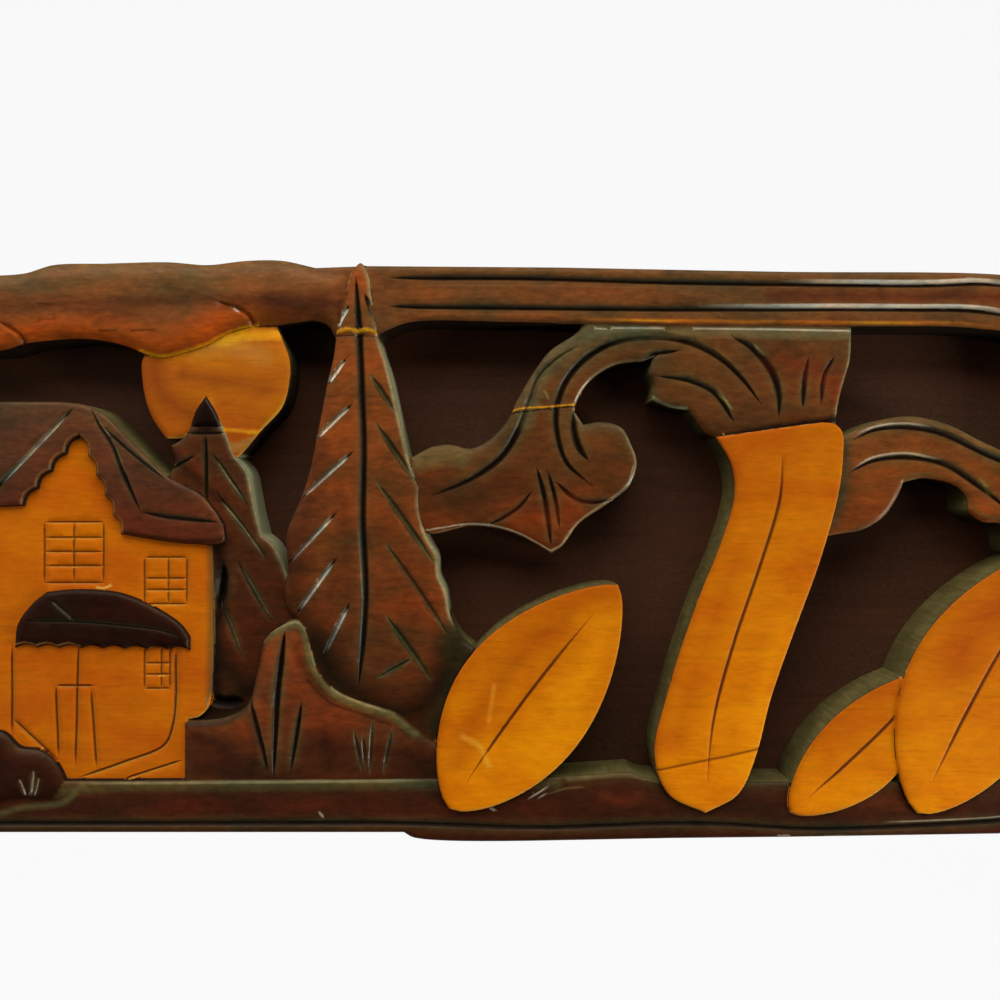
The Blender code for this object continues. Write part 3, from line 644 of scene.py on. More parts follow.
# Ground: the hill in front of the fir and the bush at the lower left
def hill():
    loop = outline(
        [(-112, -60.5), (-97, -59), (-89.5, -54.5), (-86, -42), (-83.5, -31.5), (-76.5, -26), (-70.5, -24),
         (-67, -29), (-64.5, -40), (-58, -48.5), (-48.5, -53), (-37, -56.5), (-29.5, -62.5), (-24, -66.5)],
        [(-24, -66.5)],
        [(-8, -70)],
        [(-8, -85)],
        [(-112, -85)],
    )
    blades = [
        Groove([(-76, -29), (-78.5, -49), (-80, -80)], 3.4, 2.2, (0.2, 0.5), shine=0.06),
        Groove([(-88.5, -52), (-82, -78)], 2.4, 1.1, shine=0.12),
        Groove([(-70, -53.5), (-74, -78)], 2.4, 1.1, shine=0.12),
    ]
    grass = [
        [(-51.5, -64), (-49, -77)],
        [(-48.5, -65), (-47.5, -77)],
        [(-45, -60.5), (-46, -78)],
        [(-38, -63.5), (-41, -77.5)],
    ]
    grooves = blades + [Groove(blade, 1.7, 0.8) for blade in grass]
    made = Form([loop], HILL_LEVEL, (3.2, 1.8), grooves=grooves)
    # Painted highlights: pale olive in the grass cuts
    made.marks = [Mark(blade, 1.3, (112, 104, 74), 0.7, 0.9) for blade in grass]
    return made


def bush():
    loop = outline(
        [(-200.5, -87.5), (-197, -75.5), (-186.5, -66), (-176, -64), (-169.5, -69.5), (-162.5, -70.5),
         (-157, -74.5), (-153.5, -83.5), (-157.5, -88.5), (-167, -88.5), (-174, -89.5), (-184.5, -92),
         (-195, -92)],
        [(-200.5, -87.5)],
    )
    ticks = [[(-169, -80), (-166.5, -86)], [(-164, -77), (-164.5, -85)], [(-162, -79.5), (-163.5, -86)]]
    return Form([loop], BUSH_LEVEL, (4.0, 1.6), grooves=[Groove(tick, 1.4, 0.6) for tick in ticks])


# House: walls, scalloped roof and awning
def window(left, right, bottom, top, mullion, bars):
    """The cuts of a small window: its frame, its upright and its bars."""
    ends = [((left, bottom), (left, top)), ((right, bottom), (right, top))]
    ends += [((left, z), (right, z)) for z in (bottom, top)]
    ends += [((mullion, bottom), (mullion, top))]
    ends += [((left, z), (right, z)) for z in bars]
    return straight(*ends, width=1.3, depth=0.5)


def house_wall():
    loop = outline(
        [(-200.5, 19.5)],
        [(-200.5, -86.5)],
        [(-110.5, -86.5)],
        [(-110.5, -60), (-106.5, -59), (-103, -55), (-102, -46), (-101.5, -17.5), (-102, 18)],
        [(-102, 18)],
        [(-126, 20)],
        [(-149, 46)],
        [(-174, 19.5)],
    )
    cuts = window(-161.5, -140.5, -11.5, 10, -151, (4.5, -0.5, -5.5))
    cuts += window(-126, -111, -19, -2.5, -117.5, (-10, -14))
    cuts += window(-126, -117, -49, -34, -120, (-40, -44))
    cuts += straight(
        ((-173, -34), (-173, -65)),
        ((-149.5, -34), (-150.5, -76.5)),
        ((-157.5, -48), (-156.5, -73)),
        ((-157.5, -48), (-144, -48)),
        ((-145, -49.5), (-143, -77)),
        ((-113, -74.5), (-133, -81)),
        ((-172.5, -60), (-156.5, -75)),
    )
    porch_line = [(-115, -36), (-115, -53), (-116, -62), (-119, -69), (-133, -75), (-149, -80.5)]
    cuts += [Groove(porch_line, 1.7, 0.7, (0.05, 0.1), (0.5, -0.87), 1.0)]
    return Form([loop], WALL_LEVEL, (1.0, 0.5), honey=True, grooves=cuts)


def roof():
    loop = [(-189.5, 52.5)]
    loop += curve((-155, 52.5), (-147, 51.5), (-141, 49), (-130.5, 39), (-117, 26), (-106, 20),
                  (-100.5, 14), (-97.5, 9))
    loop += curve((-97.5, 9), (-97.5, 3), (-109, 2.5), (-119.5, 3.5), (-134, 6))
    loop += bites((-134, 6), (-148.5, 40.5), 5, -1.4)[:-1]
    loop += bites((-148.5, 40.5), (-168.5, 16), 4, -1.4)
    loop += [(-210, 14.5)]
    grooves = [
        Groove([(-150.5, 50), (-163.5, 36), (-179, 20.5)], 2.5, 1.2, (0.2, 0.1), shine=1.0),
        Groove([(-144, 50), (-141, 44), (-136.5, 37), (-132.5, 26.5), (-126.5, 13.5)], 2.2, 1.0),
        Groove([(-140, 43.5), (-128.5, 33.5), (-118, 25)], 2.0, 0.9),
        Groove([(-126, 13.5), (-118, 12), (-99.5, 10)], 2.4, 1.1),
    ]
    return Form([loop], ROOF_LEVEL, (1.6, 0.9), grooves=grooves)


def awning():
    loop = curve((-171.5, -34), (-170.5, -26), (-165.5, -19), (-160.5, -15))
    loop += curve((-160.5, -15), (-150, -14), (-135.5, -15), (-123.5, -19.5), (-113.5, -26), (-110, -30.5))
    loop += [(-110, -30.5)]
    loop += bites((-110, -35), (-171.5, -34), 8, -1.0)[:-1]
    folds = [
        Groove([(-166.5, -25), (-150, -25), (-132, -26.5), (-120, -28),
                (-113, -30.5)], 1.6, 0.7, (0.1, 0.1)),
        Groove([(-158.5, -17.5), (-150, -25)], 1.6, 0.7),
    ]
    return Form([loop], AWNING_LEVEL, (1.8, 0.9), grooves=folds)


# Scrollwork: the scroll that runs on into the plume, and the one at the right
def acanthus():
    loop = outline(
        [(-32, 32.5), (-24.5, 36.5), (-17.5, 37.5), (-10.5, 36), (-4, 39), (2, 45), (6.5, 54), (11.5, 62.5),
         (17.5, 70.5), (28, 78)],
        [(30, 83)],
        [(124.5, 83)],
        [(124.5, 76), (124, 67.5), (120.5, 55), (119, 46)],
        [(119, 44)],
        [(79, 37.5)],
        [(75, 40), (72.5, 41.5), (69.5, 45.5), (66.5, 49.5)],
        [(66.5, 49.5), (60, 50.5), (53.5, 53)],
        [(53.5, 53), (54.5, 58.5), (53, 63.5), (54.5, 68.5)],
        [(54.5, 68.5), (50.5, 67)],
        [(50.5, 67), (40.5, 65.5), (32, 60), (27, 52), (26.5, 49)],
        [(26.5, 49), (29.5, 44.5)],
        [(29.5, 44.5), (36, 45.5), (43, 43.5), (46.5, 37.5), (48.5, 31), (46, 23), (39, 17)],
        [(39, 17), (28, 9.5), (22, 1.5), (18, -1)],
        [(18, -1), (13.5, 1.5), (7, 5), (-0.5, 7.5), (-10.5, 8.5), (-26, 6)],
        [(-30, 11)],
    )
    stem = [(-23.5, 19.5), (-10.5, 25), (0.5, 33), (7, 43.5), (10.5, 52.5), (14, 61.5), (20.5, 68),
            (27, 72)]
    sweep = [(32, 23), (23.5, 31), (20, 42), (20, 50.5), (23.5, 60), (30, 67.5), (40.5, 73.5), (54.5, 75.5),
             (67, 73.5), (77.5, 68), (86, 60), (92, 52)]
    lines = [
        (stem, 3.6, 1.7),
        (sweep, 3.5, 1.7),
        ([(49.5, 67), (55, 69.5), (63, 70.5)], 2.4, 1.1),
        ([(26, 49.5), (26, 42.5), (28, 36), (31, 32)], 3.4, 1.6),
        ([(11, 20.5), (7, 15.5), (2, 12), (-4, 9)], 2.4, 1.1),
        ([(13, 29), (15, 21.5), (16.5, 13.5), (18, 2)], 2.7, 1.3),
        ([(17, 27.5), (19.5, 18), (21, 8)], 2.2, 1.0),
        ([(20, 24), (26, 18.5), (32.5, 17), (40, 18)], 2.5, 1.2),
        ([(56, 61.5), (67, 60), (76, 55.5), (82.5, 45.5)], 2.7, 1.3),
        ([(82, 75.5), (89, 71.5), (96, 63), (98.5, 55), (98.5, 47.5)], 3.3, 1.5),
        ([(109, 68), (107.5, 59.5), (107, 50.5)], 2.6, 1.2),
        ([(118, 68.5), (114.5, 61), (113.5, 52)], 2.6, 1.2),
    ]
    return Form([loop], SCROLL_LEVEL, (2.6, 1.3), grooves=[Groove(*line) for line in lines])


def right_scroll():
    loop = outline(
        [(115, 38), (123, 41.5), (134, 46), (146.5, 47.5), (159, 44.5), (171, 38.5), (187, 31.5),
         (201, 26)],
        [(207, 11)],
        [(201, -3.5)],
        [(188, -4), (182, -1), (180.5, 5.5), (176.5, 9.5), (171, 10), (166, 13.5), (165, 19), (160.5, 23),
         (150, 25.5), (143, 24)],
        [(143, 24), (140.5, 18.5), (136, 12), (129, 7.5), (122, 6), (111, 6)],
    )
    lines = [
        ([(124.5, 39), (132.5, 42.5), (143, 43.5), (155.5, 41.5), (169.5, 35), (183.5, 28),
          (192, 17)], 2.9, 1.4),
        ([(123.5, 27.5), (131.5, 31.5), (143, 33), (157, 30.5), (169.5, 22.5), (180, 14)], 3.1, 1.4),
        ([(188, 20), (190, 10), (190, 2)], 2.4, 1.1),
        ([(198, 20), (197, 8)], 2.4, 1.1),
    ]
    return Form([loop], SCROLL_LEVEL, (2.6, 1.3), grooves=[Groove(*line) for line in lines])


# Row of raised slanted strokes: long and short leaves, each with a fine midrib
def leaf_midrib(base, tip, bend):
    """The fine cut along a leaf's bent axis."""
    axis = [tuple(leaf_axis(base, tip, bend, t)[0]) for t in (0.12, 0.3, 0.5, 0.7, 0.86)]
    return Groove(axis, MIDRIB_WIDTH, MIDRIB_DEPTH)


def strokes():
    """The first, third and fourth strokes by base, tip, half width, bend and level, and the tall one."""
    shapes = [
        ((-18, -90.5), (41.5, -12), 24.5, 2.0, STROKE_LEVEL),
        ((102, -92), (154, -42), 15.0, -1.5, SMALL_STROKE_LEVEL),
        ((146, -92), (198, 2), 26.0, 2.0, STROKE_LEVEL),
    ]
    forms = []
    for base, tip, half_width, bend, level in shapes:
        midrib = leaf_midrib(base, tip, bend)
        loop = leaf(base, tip, half_width, bend)
        forms.append(Form([loop], level, (1.2, 0.6), honey=True, grooves=[midrib]))
    return forms + [tall_stroke()]


def tall_stroke():
    loop = outline(
        [(75.5, 40)],
        [(113, 45.2), (117.5, 44.6), (120.2, 41.5), (120.5, 35), (119, 21), (112.5, -3), (103, -29),
         (95, -52), (90, -71.5), (83.5, -85.5), (72, -92)],
        [(72, -92), (59, -85.5), (54, -71.5), (59, -48.5), (68.5, -19), (77, 2), (82, 19.5), (81, 30),
         (75.5, 40)],
    )
    axis = [(99, 33), (98, 18), (91.5, -4), (82, -32), (75, -58), (72.5, -80)]
    midrib = Groove(axis, MIDRIB_WIDTH, MIDRIB_DEPTH, (0.15, 0.3))
    return Form([loop], STROKE_LEVEL, (1.2, 0.6), honey=True, grooves=[midrib])


def linear(red, green, blue):
    """A colour given as it shows on screen, from 0 to 255, as linear light."""
    def one(value):
        value /= 255
        return value / 12.92 if value <= 0.04045 else ((value + 0.055) / 1.055) ** 2.4
    return np.array([one(red), one(green), one(blue)])


# Colours of the forms as they show on screen, from 0 to 255: upper end and lower end, then width and strength
# of the olive band painted as sheen at their upper edges, and strength of the painted highlight line at their
# right edges
TONES = {
    border: ((120, 72, 38), (66, 32, 19), 2.0, 0.5, 0.2),
    # Cloud: its greyer upper end is painted sheen and its warmer orange lower end painted light from below
    cloud: ((136, 92, 54), (132, 62, 20), 7.0, 0.4, 0.05),
    moon: ((206, 124, 20), (168, 76, 8), 0.8, 0.15, 0.0),
    conifer: ((94, 46, 24), (66, 34, 19), 1.6, 0.5, 1.0),
    fir: ((146, 80, 34), (96, 46, 24), 1.2, 0.3, 1.0),
    hill: ((144, 68, 32), (78, 40, 22), 2.4, 0.9, 0.2),
    bush: ((58, 27, 16), (42, 20, 12), 1.5, 0.3, 0.0),
    house_wall: ((208, 106, 2), (198, 100, 8), 1.0, 0.1, 0.0),
    roof: ((96, 63, 43), (102, 44, 25), 2.0, 0.3, 0.1),
    awning: ((44, 18, 10), (38, 14, 8), 0.8, 0.15, 0.1),
    acanthus: ((104, 66, 34), (104, 50, 20), 3.2, 0.75, 0.8),
    right_scroll: ((122, 70, 32), (136, 64, 22), 2.6, 0.7, 0.6),
    strokes: ((192, 100, 2), (234, 134, 1), 1.0, 0.05, 0.0),
}

# Colours that edges and cuts take on, in order: painted sheen on upper edges and beside cuts; honey cuts;
# painted highlight on the lit slope of honey cuts; painted highlight along honey lower edges, also a chip on
# the house wall; red along honey left edges; dark cuts; painted highlight on the lit slope of dark cuts;
# painted highlight along right edges
OLIVE = (96, 88, 54)
HONEY_CUT = (106, 50, 8)
HONEY_PALE = (244, 178, 62)
HONEY_LINE = (250, 200, 92)
HONEY_RED = (160, 66, 6)
DARK_CUT = (30, 20, 10)
PALE_CUT = (176, 168, 142)
EDGE_HIGHLIGHT = (172, 162, 124)

# Colours of the marks
# Raised yellow bands, on the fir one of old glue, and a painted highlight along the cloud's lower edge
YELLOW = (226, 158, 20)
# Painted glints and highlights along cuts and lower edges, and specks of light
GLINT_PALE = (218, 208, 188)
# Painted glints in cuts and grooves
GLINT_WHITE = (252, 248, 238)
# Painted highlights along cuts and right edges
GREEN_HIGHLIGHT = (150, 142, 106)
# Painted highlights along scalloped edges, and a pale patch on the cloud
TAN = (168, 124, 70)
# Dark lines and a patch, and painted shade in the conifer's hollows and at its foot
BLACK = (16, 12, 9)
SHADE = (30, 22, 12)
EDGE_RIM = (118, 104, 66)

# Cracks, old glue, chips, stained bands and mottling, and painted highlights, glints, specks of light, sheen
# and shade, by the form that has them. Each is a line of points, then width, colour, strength, softness, and
# where it has them the taper of its ends and its rise.
MARKS = {
    # Border: the orange and yellow lines along the top rail's lower edge, the white and reddish lines along
    # its grooves, the pale specks and lines on the bottom rail and the olive bands along its upper edge are
    # painted highlights and sheen; SHADE at the top rail's right end is painted shade; the other bands are
    # mottled tone
    border: [
        ([(20, 81.7), (60, 80.9), (125, 80.2), (165, 79.7), (184, 76.8)],
         2.0, (196, 112, 34), 0.75, 0.7, 0.14),
        ([(40, 81.2), (53, 80.9), (64, 80.7)], 1.1, (240, 158, 40), 0.8, 0.8, 0.3),
        ([(120, 80.4), (134, 80.2), (150, 80.0)], 1.1, (240, 158, 40), 0.7, 0.8, 0.3),
        ([(135, -95.5), (152, -95.0), (176, -93.6), (190, -91)], 0.9, GLINT_PALE, 0.7, 0.8, 0.25),
        ([(98, -100.3), (102, -100.4)], 0.9, GLINT_PALE, 0.6, 0.8),
        ([(115, -100.5), (121, -100.4)], 0.9, (196, 150, 110), 0.6, 0.8),
        ([(110, -88), (150, -88), (185, -84)], 9.0, (88, 46, 26), 0.6, 1.0),
        ([(36, -86), (44, -88), (50, -86)], 6.0, (96, 46, 28), 0.6, 1.0),
        ([(-140, -89), (-124, -91), (-112, -89)], 6.0, (88, 42, 26), 0.5, 1.0),
        ([(-82, -88), (-70, -90), (-60, -88)], 5.0, (88, 40, 24), 0.5, 1.0),
        ([(-40, 91), (0, 91), (60, 90.5), (150, 89.5)], 3.4, (134, 82, 42), 0.4, 1.0),
        ([(176, 90), (196, 80), (206, 62), (208, 30)], 5.0, SHADE, 0.5, 1.0),
        ([(96, 90), (140, 89.5), (180, 88), (198, 78)], 7.0, (84, 38, 24), 0.75, 1.0),
        ([(100, 95.0), (150, 94.7), (172, 95.1), (198, 90.4)], 1.7, GLINT_WHITE, 0.9, 0.7, 0.3),
        ([(70, 86.2), (140, 86.2), (172, 85.3), (196, 79.2)], 1.7, GLINT_WHITE, 0.9, 0.7, 0.3),
        ([(-156, -85), (-140, -83.4), (-100, -83), (-30, -82.4), (20, -82)], 5.0, (84, 78, 48), 0.8, 0.9),
        ([(-147, -82.5), (-153.5, -88.5), (-168, -90.5), (-182, -94)], 3.4, (94, 88, 56), 0.8, 0.8),
        ([(-120, -90), (-60, -91), (20, -89)], 7.0, (74, 34, 22), 0.6, 1.0),
        ([(-150, -82), (-112, -81.8), (-60, -81.4), (-26, -81)], 1.2, (134, 128, 92), 0.8, 0.8, 0.1),
        ([(-38, 93.2), (10, 93.4), (60, 92.3)], 1.2, (136, 92, 58), 0.6, 0.9, 0.2),
        ([(-38, 83.6), (7, 83.2), (30, 82.9)], 1.2, (150, 84, 40), 0.6, 0.9, 0.2),
        ([(-63.2, -92.6), (-62.4, -93.4)], 1.4, GLINT_PALE, 0.6, 0.8),
        ([(-3.4, -90.6), (-2.2, -91.2)], 1.5, GLINT_PALE, 0.7, 0.8),
        ([(9.5, -87.6), (14, -84.9), (17.4, -82.6)], 0.9, GLINT_PALE, 0.85, 0.8, 0.3),
        ([(13, -87.4), (16.6, -85.3)], 0.7, GLINT_PALE, 0.6, 0.8, 0.3),
        ([(16, -86), (23, -83.8), (31, -83)], 1.2, (124, 96, 66), 0.7, 0.9, 0.3),
        ([(24, -80.6), (36, -79.4), (46, -79.2), (56, -81)], 2.4, (96, 90, 58), 0.8, 0.8),
    ],
    # Cloud: the orange band low on it is painted light from below, and the yellow line along its lower edge
    # over the moon and the white line at its curl are painted highlights
    cloud: [
        ([(-212, 78), (-190, 75), (-168, 77), (-150, 78), (-132, 76), (-120, 72.5), (-105, 77), (-92, 82),
          (-80, 83)], 15.0, (188, 86, 22), 0.8, 1.0),
        ([(-94, 81), (-78, 83.5), (-64, 86)], 11.0, (160, 74, 22), 0.5, 1.0, 0.3),
        ([(-212, 86.5), (-180, 86), (-150, 87), (-110, 88), (-62, 88)], 8.0, (88, 46, 22), 0.66, 1.0),
        ([(-214, 89.8), (-206, 88.6), (-199.5, 87.2)], 3.4, TAN, 0.6, 0.8),
        ([(-94.6, 86.2), (-91.4, 83.6)], 1.1, GLINT_WHITE, 0.8, 0.8, 0.3),
        ([(-104, 89.6), (-98, 87.6)], 0.9, BLACK, 0.5, 0.8, 0.3),
        ([(-100, 84), (-84, 88), (-70, 90)], 9.0, (84, 40, 22), 0.5, 1.0, 0.3),
        ([(-78, 86), (-64, 86), (-53, 88)], 17.0, (62, 32, 22), 0.75, 1.0),
        ([(-150, 84), (-138, 82), (-124, 84)], 9.0, (98, 42, 20), 0.5, 1.0, 0.3),
        ([(-196, 82), (-184, 80), (-176, 82)], 8.0, (104, 44, 20), 0.5, 1.0, 0.3),
        ([(-162.5, 86.8), (-157.0, 86.6)], 1.2, BLACK, 0.5, 0.8),
        ([(-161.0, 81.2), (-157.0, 81.4)], 1.0, BLACK, 0.45, 0.8),
        ([(-141.0, 77.3), (-134.5, 77.5)], 1.4, BLACK, 0.55, 0.8),
        ([(-129.5, 77.4), (-121.5, 77.6)], 1.6, BLACK, 0.6, 0.8),
        ([(-127, 70.5), (-119.5, 68.6), (-112.5, 70), (-103.5, 73), (-96, 76.9), (-86, 79.3)],
         2.2, YELLOW, 0.9, 0.5),
    ],
    moon: [
        ([(-99.0, 42.8), (-93.0, 42.4), (-89.5, 42.0), (-84.5, 41.6)], 2.2, YELLOW, 0.9, 0.5, 0.0, 0.2),
        ([(-96.0, 36.5), (-91.0, 37.0), (-87.0, 38.4)], 5.0, (168, 122, 56), 0.8, 0.4),
        ([(-99, 73.8), (-90, 76.2), (-79, 76.6)], 5.4, (250, 178, 26), 0.85, 0.6),
        ([(-123, 70), (-120, 56), (-110, 48)], 15.0, (138, 62, 16), 0.75, 1.0),
        ([(-112, 62), (-98, 60), (-82, 57)], 9.0, (146, 70, 16), 0.65, 1.0),
        ([(-108, 72), (-96, 72.5), (-84, 69)], 11.0, (200, 138, 54), 0.65, 1.0),
    ],
    # Conifer: the green lines along its cuts are painted glints, and the black and SHADE marks are painted
    # shade on it, in the hollows beside the house wall and at its foot
    conifer: [
        ([(-104, 54), (-104, 48)], 14.0, (24, 9, 5), 0.97, 0.3),
        ([(-100.5, 32.4), (-95.4, 24.4), (-90, 17)], 1.0, GREEN_HIGHLIGHT, 0.7, 0.8, 0.2),
        ([(-98.6, 17.4), (-91.6, 8.8), (-83.6, -2.4)], 1.1, GREEN_HIGHLIGHT, 0.8, 0.8, 0.2),
        ([(-92, -5.4), (-86.6, -15), (-81.2, -24.6)], 1.1, GREEN_HIGHLIGHT, 0.8, 0.8, 0.2),
        ([(-99, -18.4), (-95.2, -27.5), (-92, -36.8)], 1.0, GREEN_HIGHLIGHT, 0.7, 0.8, 0.2),
        ([(-108, 30), (-104, 22), (-98, 8)], 8.0, (112, 50, 26), 0.4, 1.0),
        ([(-100, 0), (-98.5, -11), (-99.5, -24)], 8.5, BLACK, 0.85, 0.9),
        ([(-101, -24), (-101, -37), (-101, -50)], 6.0, BLACK, 0.8, 0.9),
        ([(-107, -57), (-100, -57.5), (-93, -56)], 7.0, BLACK, 0.85, 0.8),
        ([(-104, 39), (-104, 14)], 2.6, SHADE, 0.8, 0.8),
        ([(-115.5, 33), (-106, 24), (-99, 17.5)], 7.0, SHADE, 0.7, 1.0),
        ([(-103, -52), (-95, -53), (-88, -50)], 9.0, BLACK, 0.8, 0.9),
        ([(-101, -34), (-96, -44), (-90, -50)], 13.0, SHADE, 0.8, 1.0),
    ],
    # Fir: the yellow band is a bead of old glue over a sunk line; the SHADE bands and the dark olive patch at
    # its lower right are painted shade, and the green lines along its right edge are painted highlights
    fir: [
        ([(-57.2, 76.9), (-53.5, 77.7), (-50.0, 77.1), (-46.5, 77.5), (-43.0, 76.5)],
         2.0, YELLOW, 1.0, 0.4, 0.0, 0.45),
        ([(-57.4, 75.3), (-50.0, 75.5), (-43.0, 75.0)], 0.7, BLACK, 0.7, 0.6, 0.0, -0.2),
        ([(-15, -34), (-22, -52), (-34, -57), (-49, -52), (-59, -45), (-65, -33)],
         21.0, SHADE, 0.95, 0.9),
        ([(-74.5, 2), (-73, -14), (-66, -30), (-60, -42)], 18.0, SHADE, 0.65, 1.0),
        ([(-46, 99), (-40, 86), (-36, 72), (-33, 60)], 7.0, (96, 90, 56), 0.6, 1.0),
        ([(-43, 82), (-38, 60), (-31, 32), (-25, 6)], 9.0, (86, 58, 32), 0.55, 1.0),
        ([(-43.6, 76), (-39.6, 62.6), (-37.1, 51.6), (-34.6, 40.2), (-32, 30), (-29.2, 22.6)],
         1.7, GREEN_HIGHLIGHT, 0.9, 0.8, 0.1),
        ([(-29.1, 14), (-26.6, 5.2), (-22.7, -2), (-22.1, -8.6), (-19.6, -14.8), (-18, -23)],
         1.7, GREEN_HIGHLIGHT, 0.9, 0.8, 0.1),
        ([(-64, 34), (-68, 14), (-71, -4)], 16.0, (84, 40, 26), 0.6, 1.0),
        ([(-38, 8), (-32, -10), (-26, -24)], 11.0, (120, 54, 26), 0.45, 1.0),
        ([(-58, -8), (-60, -22), (-56, -34)], 8.0, (104, 44, 24), 0.4, 1.0),
        ([(-56, 20), (-54, 0), (-53, -20)], 9.0, (76, 44, 28), 0.45, 1.0),
        ([(-15, -32), (-13, -48), (-20, -62)], 19.0, (50, 45, 26), 0.9, 0.6),
    ],
    # Hill: the olive of the raised ridge is painted sheen and the pale line along it a painted highlight, and
    # SHADE paints the shade below the ridge and along the hill's upper left edge; the other dark patches are
    # mottled tone
    hill: [
        ([(-84, -31.5), (-78, -28), (-71.5, -26.2), (-68.8, -30), (-66.2, -40.8), (-59, -50.2),
          (-49, -54.8), (-38, -58.4), (-30, -64.5)], 4.6, (94, 88, 54), 0.95, 0.6, 0.0, 0.5),
        ([(-68, -46), (-60, -53.6), (-49.5, -57.6), (-39, -61.4)], 1.6, SHADE, 0.6, 0.8),
        ([(-83.2, -30.6), (-77.8, -27), (-71.4, -25.4), (-68, -29.4), (-65.4, -40.2), (-58.4, -49.4),
          (-48.7, -53.9), (-37.4, -57.5)], 1.3, (146, 140, 104), 0.7, 0.8, 0.1),
        ([(-106, -76), (-60, -82), (-18, -78)], 15.0, (46, 25, 15), 0.6, 1.0),
        ([(-108, -65), (-99, -69), (-93, -77)], 12.0, (60, 28, 20), 0.7, 1.0),
        ([(-66, -69), (-50, -70), (-28, -73)], 17.0, (50, 26, 18), 0.75, 1.0),
        ([(-88, -58), (-86, -66), (-88, -80)], 7.0, (48, 26, 17), 0.6, 1.0),
        ([(-72, -34), (-68, -44), (-60, -54)], 6.0, (56, 32, 18), 0.6, 1.0),
        ([(-62, -64), (-60, -76)], 8.0, BLACK, 0.4, 1.0),
        ([(-92, -62), (-86, -72)], 6.0, (122, 52, 26), 0.4, 1.0),
        ([(-111, -61.5), (-97, -60.4), (-90.5, -56), (-87.5, -45), (-84.5, -34)], 5.0, SHADE, 0.75, 0.9),
    ],
    # Acanthus: the pale specks and lines along its cuts, the hook's inner edge, its lower edges and the foot
    # of the rail are painted glints and highlights, and the near-black band above the tall stroke is painted
    # shadow
    acanthus: [
        ([(-28, 22), (-10, 18), (0, 24), (8, 22)], 16.0, (70, 38, 20), 0.6, 1.0),
        ([(-29, 31), (-21, 33), (-13, 32)], 9.0, (104, 98, 64), 0.7, 0.8),
        ([(9, 46), (13.5, 59), (21, 68.5), (33, 76), (48, 78)], 9.0, (100, 94, 64), 0.75, 0.9),
        ([(52.5, 64), (53.5, 55), (60, 51.2), (66, 50.2)], 1.8, (140, 140, 110), 0.75, 0.8),
        ([(30.5, 77.6), (77, 77.2), (124, 76.4)], 5.6, (114, 104, 72), 0.8, 0.7),
        ([(3.8, 49.3), (9.0, 50.4), (15.5, 50.6), (21.0, 51.2), (27.2, 51.6)],
         1.0, YELLOW, 0.95, 0.5, 0.0, 0.2),
        ([(4.0, 48.5), (15.5, 49.8), (27.2, 50.9)], 0.6, BLACK, 0.8, 0.6, 0.0, -0.3),
        ([(89, 73.4), (91, 71.4), (94, 68.4)], 1.1, (186, 172, 112), 0.9, 0.8, 0.3),
        ([(76.6, 56.4), (79.4, 53.2), (82.2, 49.4)], 1.3, (164, 156, 98), 0.9, 0.8, 0.3),
        ([(15, 57), (16.6, 55), (17, 53)], 1.6, (140, 134, 88), 0.7, 0.8, 0.3),
        ([(98, 68), (112, 64), (119, 56)], 16.0, (112, 46, 22), 0.6, 1.0),
        ([(6, 12), (18, 12), (32, 24)], 15.0, (128, 54, 20), 0.45, 1.0),
        ([(-26, 7.2), (-10.5, 9.4), (-0.5, 8.4), (7, 5.9), (13.5, 2.5), (17.6, 0.1)],
         0.9, GLINT_PALE, 0.75, 0.8),
        ([(18.5, 0.2), (22, 2.5), (28, 10.4), (38.6, 18.0), (45.0, 23.6), (47.2, 30)],
         0.8, (176, 156, 126), 0.7, 0.8),
        ([(78, 39.4), (98, 43.4), (119, 46.4)], 4.2, (20, 8, 6), 0.95, 0.7),
        ([(34.0, 78.4), (37.5, 78.3)], 0.9, GLINT_PALE, 0.7, 0.5),
        ([(40.0, 78.6), (57.5, 78.5)], 1.1, GLINT_PALE, 0.8, 0.5),
        ([(68.8, 78.4), (95.0, 78.1), (123.6, 77.6)], 1.1, GLINT_PALE, 0.8, 0.5),
    ],
    # Right scroll: the pale lines along its grooves and the olive streak near its right end are painted
    # glints
    right_scroll: [
        ([(122, 38), (121, 26), (118, 10)], 8.0, (84, 76, 48), 0.8, 0.9),
        ([(126, 41.2), (132.5, 43.8), (143, 44.9), (153, 43.6)], 1.1, GLINT_PALE, 0.8, 0.8, 0.2),
        ([(125, 29.4), (131.5, 32.8), (143, 34.4), (156, 32.2)], 1.2, GLINT_PALE, 0.85, 0.8, 0.2),
        ([(169, 26), (171.6, 22.6), (174, 18.8)], 2.2, (124, 118, 60), 0.7, 0.9, 0.3),
        ([(142, 26), (152, 27), (164, 22), (168, 14), (180, 10)], 2.0, (116, 88, 44), 0.6, 0.9),
    ],
    # Roof: the white and pale lines in its grooves and the tan lines along its scallops are painted
    # highlights, and SHADE paints the shade along its scalloped edges and its lower edge
    roof: [
        ([(-152.5, 47.8), (-163.5, 36.4), (-176, 23.4)], 1.1, GLINT_WHITE, 0.9, 0.8, 0.15),
        ([(-143.4, 49.4), (-140.2, 44), (-135.7, 37), (-131.9, 27)], 1.2, (132, 124, 92), 0.8, 0.8, 0.2),
        ([(-138, 42.6), (-128.5, 34.3), (-119, 26.6)], 1.1, (132, 124, 92), 0.75, 0.8, 0.2),
        ([(-134.6, 8), (-141.4, 24), (-148.5, 40)], 3.0, SHADE, 0.7, 0.9),
        ([(-149.5, 39.6), (-158.5, 28.4), (-167, 18)], 3.0, SHADE, 0.7, 0.9),
        (moved(bites((-134, 6), (-148.5, 40.5), 5, -1.4), (0.8, 0.2)), 0.8, TAN, 0.7, 0.8),
